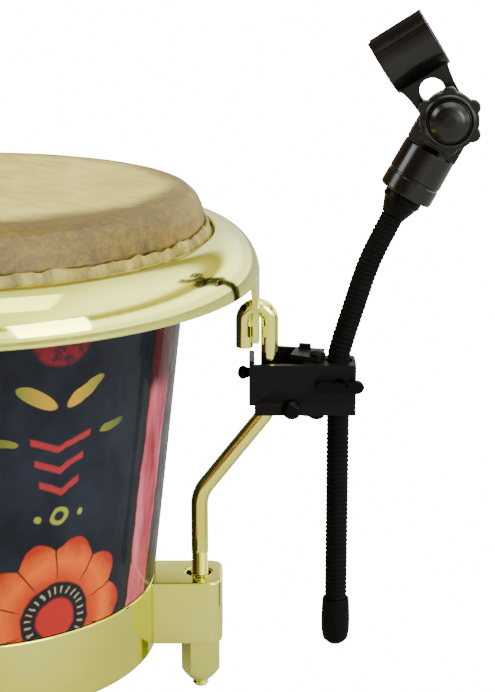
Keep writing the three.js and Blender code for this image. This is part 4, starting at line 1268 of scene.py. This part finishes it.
@dataclass
class Clamp(Holder):
    """The two-jaw sheet-steel clamp between the rod and the gooseneck."""

    bottom: float = 99.8
    top: float = 120.5
    left: float = 115.6
    right: float = 158.2
    front: float = -8.4
    back: float = 7.6
    sheet: float = 2.2
    cheek_bottom: float = 104
    cheek_top: float = 122.4
    neck_x: float = 151.5
    pin_x: float = 142.8
    rear_sheet: float = 1.8
    rear_open: float = 0.24
    saddle_right: float = 139
    saddle_screw: Point = (132.6, 102.4)
    rod_screw_height: float = 115.4
    thumb_screw_height: float = 112.6
    neck_hole: float = 5.6
    screw_hole: float = 2.3
    gap: float = 0.3

    def build(self) -> None:
        """Make the clamp's pieces."""
        self.front_jaw()
        self.rear_jaw()
        self.pin()
        self.saddle()
        self.rod_screw()
        self.thumb_screw()

    def upright(self, radius: float, x: float) -> bpy.types.Object:
        """An upright cutter through the clamp."""
        return settle(rod_shape("cutter", radius, 80, 140, 40), shift(x))

    def at_saddle_screw(self, y: float = 0) -> Matrix:
        """A move to the saddle screw's axis."""
        return shift(self.saddle_screw[0], y, self.saddle_screw[1])

    def drilled(self, radius: float, end: float, x: float, z: float) -> bpy.types.Object:
        """A cutter from the front of the clamp to a depth."""
        return settle(rod_shape("cutter", radius, -12, end, 24), shift(x, 0, z) @ along_y())

    def front_jaw(self) -> None:
        """The front channel: face, apron, cheek and two flanges with the neck's holes."""
        f, b, s = self.front, self.back, self.sheet
        left, right, low = self.left, self.right, self.cheek_bottom
        face = slab("clamp_front_channel", [(left, f), (right, f, 1.2), (right, f + s), (left, f + s)], low, self.top)
        apron = slab("apron", [(left + s, f), (right, f, 1.2), (right, f + s), (left + s, f + s)], self.bottom, low + 1)
        cheek = slab("cheek", [(left, f, 1.2), (left + s, f), (left + s, b, 0.6), (left, b, 0.6)], low, self.cheek_top)
        edge = [(137.2, f), (right, f, 1.2), (right, b, 3), (147, b, 1), (145.8, 5, 1), (137.2, 5, 1.5)]
        flanges = [slab("flange", edge, z, z + s) for z in (self.bottom, self.top - s)]
        combined(face, apron, cheek, *flanges)
        combined(
            face, self.upright(self.neck_hole, self.neck_x), self.upright(self.screw_hole, self.pin_x),
            self.drilled(2.7, 0, self.neck_x, self.thumb_screw_height),
            self.drilled(self.screw_hole, 0, *self.saddle_screw),
            settle(rod_shape("cutter", self.screw_hole, 110, 122, 24), shift(z=self.rod_screw_height) @ along_x()),
            how="DIFFERENCE",
        )
        bevelled(cleaned(face), 0.5, 2, 50)
        self.finished(face, POWDER_COAT, "black_paint", "clamp", "clamp_front_jaw")

    def rear_jaw(self) -> None:
        """The rear jaw: a plate behind the rod, with a flange above and below the front channel."""
        s, behind, ahead, length = self.rear_sheet, 8.6, 1.0, 25.0
        low, high = self.bottom - self.gap - s, self.top + self.gap + s
        back, end = behind + s, ahead - length
        sheet = [(end, behind, 0.6), (ahead, behind, 0.4), (ahead, back, 0.4), (end, back, 0.6)]
        plate = slab("clamp_rear_jaw_plate", sheet, low, high)
        edge = [
            (-10.6, behind + 1), (-10.6, -1.4, 1), (-4, -3.6, 1.5), (2.4, -3.6, 2), (3, 3, 2),
            (ahead, behind - 1.4), (ahead, behind + 1),
        ]
        tab = [(-9.4, behind), (-4.6, behind), (-4.6, back), (-9.4, back)]
        combined(plate, slab("flange", edge, low, low + s), slab("flange", edge, high - s, high),
                 slab("tab", tab, high - 0.5, high + 1.8))
        combined(plate, rod_shape("cutter", self.screw_hole, 80, 140, 32), how="DIFFERENCE")
        bevelled(cleaned(plate), 0.45, 2, 50)
        settle(plate, shift(self.pin_x) @ about_z(-self.rear_open))
        self.finished(plate, POWDER_COAT, "black_paint", "clamp_rear", "clamp_rear_jaw")

    def pin(self) -> None:
        """The upright rivet with its domed heads."""
        past = 2 * self.gap + self.rear_sheet
        low, high = self.bottom - past, self.top + past
        up = arc(0, high, 3.1, 0, math.pi / 2, 8)
        dome = [(x, high + (z - high) * 0.52) for x, z in up]
        outline = [(x, low - (z - high)) for x, z in reversed(dome)] + [(2, low), (2, high)] + dome
        outline[0] = (0, outline[0][1])
        outline[-1] = (0, outline[-1][1])
        pin = settle(turned("clamp_rivet", outline, 32), shift(self.pin_x))
        self.finished(pin, POWDER_COAT, "black_paint", "clamp", "clamp_pivot_pin")

    def saddle(self) -> None:
        """The moulded block that the rod beds in, and its screw."""
        rod_x, end = self.drum.hook_at, self.saddle_right
        bed = [(rod_x + 1, -5.9), (end, -5.9, 1), (end, 4, 1), (rod_x + 1, 4)]
        block = slab("clamp_rod_saddle", bed, 102.4, 118)
        flare = turned("flare", [(0, 101.4), (5.6, 101.4), (3.8, 107.4), (0, 107.4)], 40)
        hole = settle(rod_shape("cutter", self.screw_hole, -10, 1.6, 24), self.at_saddle_screw() @ along_y())
        cuts = [self.upright(3.8, rod_x), self.upright(3, self.pin_x), settle(flare, shift(rod_x)), hole]
        combined(block, *cuts, how="DIFFERENCE")
        bevelled(cleaned(block), 0.4, 2, 50)
        self.finished(block, RUBBER, "black_rubber", "clamp", "clamp_saddle")
        head = [(0, -3, 0), (2.4, -2.9, 0.6), (3.8, -1.5, 1), (3.9, 0, 0.3), (2, 0), (2, 9.3), (0, 9.3)]
        screw = turned("clamp_saddle_bolt", head, 32)
        settle(screw, self.at_saddle_screw(self.front - self.gap) @ along_y())
        self.finished(screw, POWDER_COAT, "black_paint", "clamp", "clamp_saddle_screw")

    def rod_screw(self) -> None:
        """The ball-headed screw that pinches the rod."""
        seat = self.left - self.gap
        reach = self.drum.hook_at - self.drum.rod_radius - self.gap - seat
        ball = [(x, z - 2.1) for x, z in arc(0, 0, 2.8, -math.pi / 2, 0.62, 14)]
        ball = [(r, z * 0.78 - 0.45) for r, z in ball]
        ball[0] = (0, ball[0][1])
        screw = turned("clamp_ball_screw", [*ball, (2, 0), (2, reach, 0.3), (0, reach)], 32)
        settle(screw, shift(seat, 0, self.rod_screw_height) @ along_x())
        self.finished(screw, POWDER_COAT, "black_paint", "rod_screw", "clamp_rod_screw")

    def thumb_screw(self) -> None:
        """The winged screw that locks the neck."""
        seat, hub_length, wing_thick = self.front - self.gap, 5, 2.8
        reach = -seat - 4.9
        stem = [(0, -hub_length, 0), (3.4, -hub_length, 0.8), (4.2, 0, 0.4), (2.4, 0), (2.4, reach), (0, reach)]
        hub = turned("clamp_wing_screw", stem, 32)
        settle(hub, shift(0, seat, 0) @ along_y())
        leaf = [(-2, -1.8), (4, -2.2, 2), (9.6, -3.1, 3), (9.6, 3.1, 3), (4, 2.2, 2), (-2, 1.8)]
        wing = slab("wing", leaf, 0, wing_thick)
        bevelled(wing, 0.7, 3, 50)
        settle(wing, shift(0, seat - hub_length + wing_thick + 0.6, 0) @ stood_up())
        other = copied(wing, "wing_copy", Matrix.Rotation(math.pi, 4, "Y"))
        combined(hub, wing, other)
        settle(cleaned(hub), shift(self.neck_x, 0, self.thumb_screw_height))
        self.finished(hub, POWDER_COAT, "black_paint", "thumb_screw", "clamp_thumb_screw")


@dataclass
class Gooseneck(Holder):
    """The ribbed neck: a straight part through the clamp and a bending part above it."""

    radius: float = 4.6
    lower_x: float = 151.5
    lower_bottom: float = 4
    end: Point = (171.7, 179)
    rib_pitch: float = 1.9
    rib_depth: float = 0.07
    links: int = 3
    bend_reach: float = 9
    lead: float = 3

    def build(self) -> None:
        """Make the neck's lengths and its end cap."""
        joints = [j for j in frame["joints"] if j["name"].startswith("neck_bend_")]
        back = self.place.inverted()
        hinges = [(back @ Vector(j["pos_m"])) / MM for j in sorted(joints, key=lambda j: j["name"])]
        marks = [(h.x, h.z) for h in hinges]
        route = self.smooth_route([*marks, self.end])
        cuts = [self.length_at(route, m) for m in marks] + [self.length(route)]
        mids = [0.0] + [(a + b) / 2 for a, b in zip(cuts[:-1], cuts[1:])]
        lead = (self.lower_x, marks[0][1] - self.lead)
        straight = [(self.lower_x, z) for z in self.steps(self.lower_bottom, lead[1])]
        self.ribbed("neck_sleeve_lower", straight, "neck", "neck_lower")
        bodies = ["neck"] + [f"neck_link_{i}" for i in range(1, self.links + 1)]
        for i in range(self.links):
            begin = [lead] if i == 0 else []
            stretch = begin + self.between(route, mids[i] if i else 0.0, mids[i + 1])
            number = i + 1
            self.jointed(
                f"neck_sleeve_{number}", stretch, bodies[i], bodies[number], route, cuts[i], f"neck_segment_{number}"
            )
        self.ribbed("neck_sleeve_top", self.between(route, mids[-1], cuts[-1]), bodies[-1], None)
        self.cap()

    def steps(self, low: float, high: float) -> list[float]:
        """Steps of a quarter of a rib from one value to another."""
        count = max(2, round((high - low) / (self.rib_pitch / 4)))
        return [low + (high - low) * i / count for i in range(count + 1)]

    @staticmethod
    def smooth_route(marks: Sequence[Point]) -> list[Point]:
        """A smooth curve through points, in fine steps."""
        ends = [Vector(marks[0]) - Vector((0, 10)), *map(Vector, marks), 2 * Vector(marks[-1]) - Vector(marks[-2])]
        out: list[Point] = []
        for a, b, c, d in zip(ends, ends[1:], ends[2:], ends[3:]):
            for step in range(40):
                t = step / 40
                p = 0.5 * (2 * b + (c - a) * t + (2 * a - 5 * b + 4 * c - d) * t**2 + (3 * b - a - 3 * c + d) * t**3)
                out.append((p.x, p.y))
        return [*out, tuple(marks[-1])]

    @staticmethod
    def length(route: Sequence[Point]) -> float:
        """A route's length."""
        return sum(math.dist(a, b) for a, b in zip(route, route[1:]))

    def length_at(self, route: Sequence[Point], mark: Point) -> float:
        """How far along a route a mark lies."""
        nearest = min(range(len(route)), key=lambda i: math.dist(route[i], mark))
        return self.length(route[: nearest + 1])

    @staticmethod
    def at(route: Sequence[Point], distance: float) -> Point:
        """The point at a distance along a route."""
        for a, b in zip(route, route[1:]):
            step = math.dist(a, b)
            if distance <= step:
                share = distance / step
                return (a[0] + (b[0] - a[0]) * share, a[1] + (b[1] - a[1]) * share)
            distance -= step
        return route[-1]

    def between(self, route: Sequence[Point], start: float, end: float) -> list[Point]:
        """Fine points from one distance to another."""
        return [self.at(route, d) for d in self.steps(start, end)]

    def tube(self, name: str, points: Sequence[Point]) -> bpy.types.Object:
        """A ribbed rubber tube along points, placed and dressed: each rib takes four of the points."""
        run = 0.0
        swell = []
        for i, point in enumerate(points):
            run += math.dist(points[i - 1], point) if i else 0.0
            swell.append(1 - self.rib_depth * abs(math.sin(math.pi * run / self.rib_pitch)) ** 3)
        obj = settle(swept(name, [(x, 0, z) for x, z in points], self.radius, 28, swell), self.place)
        smoothed(obj, 50)
        RUBBER.dress(obj)
        return obj

    def ribbed(self, name: str, points: Sequence[Point], body: str, node: Optional[str]) -> None:
        """A length that rides on one body."""
        obj = self.tube(name, points)
        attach(obj, body)
        if node:
            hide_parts(node)
        LOG.info("%s rides on %s", name, body)

    def jointed(
        self, name: str, points: Sequence[Point], a: str, b: str, route: Sequence[Point], cut: float, node: str
    ) -> None:
        """A length across the hinge between two bodies, baked into the row frame and attached to neither."""
        obj = self.tube(name, points)
        reach = self.bend_reach
        before = self.at(route, cut - reach) if cut > reach else (self.lower_x, route[0][1] - 2.4)
        after = self.at(route, cut + reach)
        self.point(*before)
        self.point(*after)
        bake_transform(obj)
        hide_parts(node)
        LOG.info("%s bends from %s to %s", name, a, b)

    def cap(self) -> None:
        """The moulded rubber cap on the neck's lower end."""
        outline = [
            (0, -1.7), (2.6, -1.6, 2), (5.2, 0.6, 3), (5.85, 5, 4), (5.9, 9, 3), (5.75, 14, 3), (5.5, 18.2, 0.5),
            (5.1, 18.6, 0.3), (4.75, 18.4), (4.75, 3.7), (0, 3.7),
        ]
        cap = settle(turned("neck_rubber_cap", outline, 48), shift(self.lower_x))
        self.finished(cap, RUBBER, "black_rubber", "neck", "neck_end_cap")


@dataclass
class Clip(Holder):
    """The fitting at the top of the neck and the microphone clip on it."""

    base: Point = (176.5, 187.8)
    tilt: float = 28.7
    swivel: float = -6
    pivot: float = 34.1
    height: float = 21.5
    radius: float = 10.85
    cradle_tilt: float = -61
    trough_centre: float = 32.4
    trough_radius: float = 14.4
    trough_length: float = 23
    trough_wall: float = 2.5
    thread_pitch: float = 0.8
    bolt_hole: float = 2.8
    ear_radius: float = 10.4
    ear_thick: float = 3.4
    knob_seat: float = 8.5

    @property
    def fitting_frame(self) -> Matrix:
        """The neck top's own frame."""
        return shift(self.base[0], 0, self.base[1]) @ about_y(self.tilt)

    @property
    def socket_frame(self) -> Matrix:
        """The socket's frame, turned on its thread."""
        return self.fitting_frame @ about_z(math.radians(self.swivel))

    @property
    def pivot_frame(self) -> Matrix:
        """The socket's frame, moved up to the clip's pivot, with Z along the knob's side."""
        return self.socket_frame @ shift(0, 0, self.pivot) @ stood_up()

    def build(self) -> None:
        """Make the fitting, the socket, the cradle and the knob."""
        self.fitting()
        self.socket()
        self.cradle()
        self.bolt()
        self.knob()

    def fitting(self) -> None:
        """The tapered boot and its threaded stud."""
        boot = [(0, -9.6), (4.9, -9.6, 0.4), (5.15, -8.6, 2), (7.0, -3.9, 2), (7.7, -3.0, 0.4), (7.7, -0.6, 0.4)]
        rows = thread_rows(6.3, 6.88, -0.2, 10, self.thread_pitch)
        obj = turned("neck_threaded_stud", [*boot, (6.3, -0.6), *rows, (6.2, 10.5), (0, 10.5)], 48)
        settle(obj, self.fitting_frame)
        self.finished(obj, POWDER_COAT, "black_paint", "neck_link_3", "neck_top_fitting")

    def ear_outline(self, radius: float, drop: float) -> list[Point]:
        """A tongue with a round end about the pivot."""
        return [(-radius, -drop), (radius, -drop), *arc(0, 0, radius, 0, math.pi, 24)]

    def socket(self) -> None:
        """The socket with its two ears, and the metal thread in its mouth."""
        r, h = self.radius, self.height
        outline = [
            (0, 15), (9, 15), (9, 0.3), (9.3, 0), (r - 0.5, 0, 0.2), (r, 0.8, 0.4), (r, 6.4), (r - 0.35, 6.8),
            (r - 0.35, 7.4), (r, 7.8), (r * 0.985, h - 2, 0.5), (r - 1.8, h, 0.8), (0, h),
        ]
        cup = turned("clip_socket_cup", outline, 64)
        for low in (4.8, -8.2):
            ear = slab("ear", self.ear_outline(self.ear_radius, self.pivot - h + 1.5), low, low + self.ear_thick)
            bevelled(ear, 0.5, 2, 50)
            combined(cup, settle(ear, shift(0, 0, self.pivot) @ stood_up()))
        bore = settle(rod_shape("bore", self.bolt_hole, -20, 20), shift(0, 0, self.pivot) @ along_y())
        combined(cup, bore, how="DIFFERENCE")
        settle(cleaned(cup), self.socket_frame)
        self.finished(cup, PLASTIC, "black_plastic", "clip", "clip_socket")
        rows = thread_rows(7.2, 7.75, 0.2, 12.4, self.thread_pitch)
        wall = [(8.1, -0.3, 0.2), (8.7, 0.4, 0.2), (8.7, 13), (7.4, 13), *reversed(rows), (7.3, -0.3)]
        insert = turned("clip_brass_thread", wall, 64, closed=True)
        settle(insert, self.socket_frame)
        self.finished(insert, BRIGHT_STEEL, "zinc_steel", "clip", "clip_thread_insert")

    def cradle(self) -> None:
        """The spring cradle: a grooved open ring on a necked web with a round hole."""
        c, r, wall, half = self.trough_centre, self.trough_radius, self.trough_wall, self.trough_length / 2
        gape = math.radians(52)
        start, end = math.pi / 2 + gape, math.pi / 2 - gape + TURN
        outer = []
        steps = 72
        for i in range(steps + 1):
            angle = start + (end - start) * i / steps
            from_lip = min(i, steps - i) / steps * (end - start) * r
            groove = 0.55 if 2.2 < from_lip < 3.6 or 5.2 < from_lip < 6.6 else 0.0
            outer.append(((r - groove) * math.cos(angle), c + (r - groove) * math.sin(angle)))
        inner = arc(0, c, r - wall, end, start, steps)
        trough = slab("clip_cradle_shell", [*outer, *inner], -half, half)
        settle(trough, stood_across())
        bevelled(cleaned(trough), 0.3, 2, 60)
        shoulder = c - r + wall * 0.6
        waist = 8.6
        flank = [self.ease((-half + 0.4, shoulder), (-waist, shoulder - 4), (-waist, 4), t / 12) for t in range(13)]
        other = [(-x, z) for x, z in reversed(flank)]
        plate = slab("web", [*flank, *arc(0, 0, waist, math.pi, TURN, 24), *other], -4.5, 4.5)
        hole = rod_shape("hole", 4.9, -6, 6, 40)
        settle(hole, shift(0, 12.6))
        eye = rod_shape("eye", self.bolt_hole, -6, 6, 24)
        combined(plate, hole, eye, how="DIFFERENCE")
        bevelled(cleaned(plate), 0.7, 3, 50)
        settle(plate, stood_up())
        combined(trough, plate)
        combined(trough, self.bore_cutter(c, r - wall), how="DIFFERENCE")
        settle(cleaned(trough), self.socket_frame @ shift(0, 0, self.pivot) @ about_y(self.cradle_tilt))
        self.finished(trough, PLASTIC, "black_plastic", "cradle", "clip_cradle")

    @staticmethod
    def bore_cutter(centre: float, radius: float) -> bpy.types.Object:
        """What clears the cradle's inside of the web."""
        return settle(rod_shape("bore", radius - 0.01, -30, 30, 72), shift(0, 0, centre) @ along_x())

    @staticmethod
    def ease(a: Point, b: Point, c: Point, t: float) -> Point:
        """A point on the quadratic curve from a towards b to c."""
        return tuple((1 - t) ** 2 * p + 2 * t * (1 - t) * q + t * t * s for p, q, s in zip(a, b, c))

    def bolt(self) -> None:
        """The bolt through the ears, its head opposite the knob."""
        head = [(0, -11.7), (3.4, -11.7, 0.8), (4.8, -10.4, 0.8), (4.8, -8.5, 0.2)]
        outline = [*head, (2.5, -8.5), (2.5, 14.4), (0, 14.4)]
        bolt = settle(turned("clip_pivot_bolt", outline, 32), self.pivot_frame)
        self.finished(bolt, BRIGHT_STEEL, "zinc_steel", "clip", "clip_bolt")

    def knob(self) -> None:
        """The lobed knob with its domed cap in a raised ring."""
        seat = self.knob_seat
        star = []
        for i in range(144):
            angle = i * TURN / 144
            lobe = max(0.0, math.cos(6 * angle)) ** 0.8
            reach = 11.4 + 1.8 * lobe
            star.append((reach * math.cos(angle), reach * math.sin(angle)))
        knob = slab("clip_lobed_knob", star, seat + 2.4, seat + 7.2)
        bevelled(knob, 0.9, 3, 50)
        barrel = turned("barrel", [(0, seat), (8.4, seat, 0.4), (8.4, seat + 3), (0, seat + 3)], 48)
        collar = turned("collar", [
            (0, seat + 6), (10.2, seat + 6), (10.2, seat + 7.6, 0.8), (9.2, seat + 8.6, 0.6),
            (8.6, seat + 8, 0.4), (8.1, seat + 7.4, 0.3), (7.6, seat + 9.6, 1.2), (5.6, seat + 11.3, 4),
            (2.5, seat + 11.95, 6), (0, seat + 12),
        ], 64)
        combined(knob, barrel, collar)
        combined(knob, rod_shape("bore", self.bolt_hole, seat - 1, seat + 6.3), how="DIFFERENCE")
        settle(cleaned(knob), self.pivot_frame)
        self.finished(knob, PLASTIC, "black_plastic", "knob", "clip_knob", 28)


# ---------------------------------------------------------------- the studio
@dataclass
class Studio:
    """A pale floor, soft light and the camera."""

    drum: Drum
    lens: float = 97.2
    stand_off: float = 719.6
    aside: float = 115
    above_head: float = 132.5
    look_down: float = 15.25
    azimuth: float = 45
    backdrop: float = 16

    def build(self) -> None:
        """Set up the studio."""
        self.camera()
        self.floor()
        self.lights()
        self.sky()

    def camera(self) -> None:
        """The camera, level across and tipped down, beside the small drum."""
        put_down()
        bpy.ops.object.camera_add()
        camera = bpy.context.object
        camera.name = "camera"
        turn = math.radians(self.azimuth)
        ahead = Vector((-math.sin(turn), math.cos(turn), 0))
        right = Vector((math.cos(turn), math.sin(turn), 0))
        up = Vector((0, 0, (self.drum.head_top + self.above_head) * MM))
        camera.location = self.drum.origin + right * self.aside * MM - ahead * self.stand_off * MM + up
        down = math.radians(self.look_down)
        look = ahead * math.cos(down) - Vector((0, 0, math.sin(down)))
        camera.rotation_mode = "QUATERNION"
        camera.rotation_quaternion = look.to_track_quat("-Z", "Y")
        camera.data.lens = self.lens
        camera.data.sensor_width = 36
        camera.data.clip_start = 0.01
        camera.data.clip_end = 60
        bpy.context.scene.camera = camera

    def floor(self) -> None:
        """A wide pale floor."""
        put_down()
        bpy.ops.mesh.primitive_circle_add(vertices=96, radius=9, fill_type="NGON", location=(0, 0, -0.0004))
        floor = named("studio_floor")
        bpy.ops.object.transform_apply(location=True)
        material = bpy.data.materials.new("pale_floor")
        material.use_nodes = True
        recipe = Recipe(material.node_tree)
        shader = material.node_tree.nodes["Principled BSDF"]
        shader.inputs["Base Color"].default_value = (0.50, 0.50, 0.48, 1)
        shader.inputs["Roughness"].default_value = 0.9
        glow = recipe.node("ShaderNodeEmission")
        glow.inputs["Color"].default_value = (1, 1, 1, 1)
        glow.inputs["Strength"].default_value = self.backdrop
        blend = recipe.node("ShaderNodeMixShader")
        recipe.feed(blend.inputs[0], recipe.node("ShaderNodeLightPath").outputs["Is Camera Ray"])
        recipe.feed(blend.inputs[1], shader.outputs[0])
        recipe.feed(blend.inputs[2], glow.outputs[0])
        recipe.feed(material.node_tree.nodes["Material Output"].inputs["Surface"], blend.outputs[0])
        floor.data.materials.append(material)

    def lights(self) -> None:
        """Large soft lights: one from the upper left, one over the top and a low one from the right."""
        for name, at, size, power in (
            ("key", (-0.9, -1.7, 1.5), 1.0, 30),
            ("top", (0.3, -0.1, 1.9), 1.3, 16),
            ("side", (1.9, -0.1, 0.8), 0.9, 22),
        ):
            put_down()
            bpy.ops.object.light_add(type="AREA", location=at)
            light = bpy.context.object
            light.name = name
            light.data.size = size
            light.data.energy = power
            aim = Vector((0.1, 0, 0.12)) - Vector(at)
            light.rotation_euler = aim.to_track_quat("-Z", "Y").to_euler()

    def sky(self) -> None:
        """White overhead and to the right, with dark cards low down and to the left for the plating to show."""
        world = bpy.data.worlds.new("studio")
        bpy.context.scene.world = world
        world.use_nodes = True
        recipe = Recipe(world.node_tree)
        background = world.node_tree.nodes["Background"]
        where = recipe.node("ShaderNodeTexCoord").outputs["Generated"]
        height = recipe.ramp(
            recipe.split(where)[2], (0.0, (0.95, 0.94, 0.86)), (0.12, (0.9, 0.88, 0.78)), (0.22, (1.3,) * 3),
            (0.35, (1.2,) * 3), (0.42, (0.30, 0.25, 0.08)), (0.52, (0.38, 0.33, 0.14)), (0.62, (1.1,) * 3),
        )
        turn = math.radians(self.azimuth)
        rightward = recipe.node("ShaderNodeVectorMath", operation="DOT_PRODUCT")
        recipe.feed(rightward.inputs[0], where)
        rightward.inputs[1].default_value = (math.cos(turn), math.sin(turn), 0)
        side = recipe.ramp(
            recipe.scaled(rightward.outputs["Value"], 0.5, 0.5),
            (0.12, (0.26, 0.15, 0.08)), (0.38, (0.34, 0.22, 0.12)), (0.50, (1.1, 1.08, 0.95)), (0.8, (2.4,) * 3),
        )
        lit = recipe.mix(1.0, height, side, "MULTIPLY")
        seen = recipe.node("ShaderNodeLightPath").outputs["Is Camera Ray"]
        recipe.feed(background.inputs["Color"], recipe.mix(seen, lit, (*(self.backdrop,) * 3, 1)))
        background.inputs["Strength"].default_value = 1.0


def main() -> None:
    """Build the pair of drums, the holder and the studio."""
    logging.basicConfig(level=logging.INFO, format="%(message)s")
    small = Drum(Kind.SMALL, shell_top=93.4, shell_bottom=76.7)
    large = Drum(Kind.LARGE, shell_top=111, shell_bottom=92.5)
    Studio(small).build()
    small.build()
    large.build()
    Bridge(small, large).build()
    Clamp(small).build()
    Gooseneck(small).build()
    Clip(small).build()
    put_down()


if __name__ == "__main__":
    main()
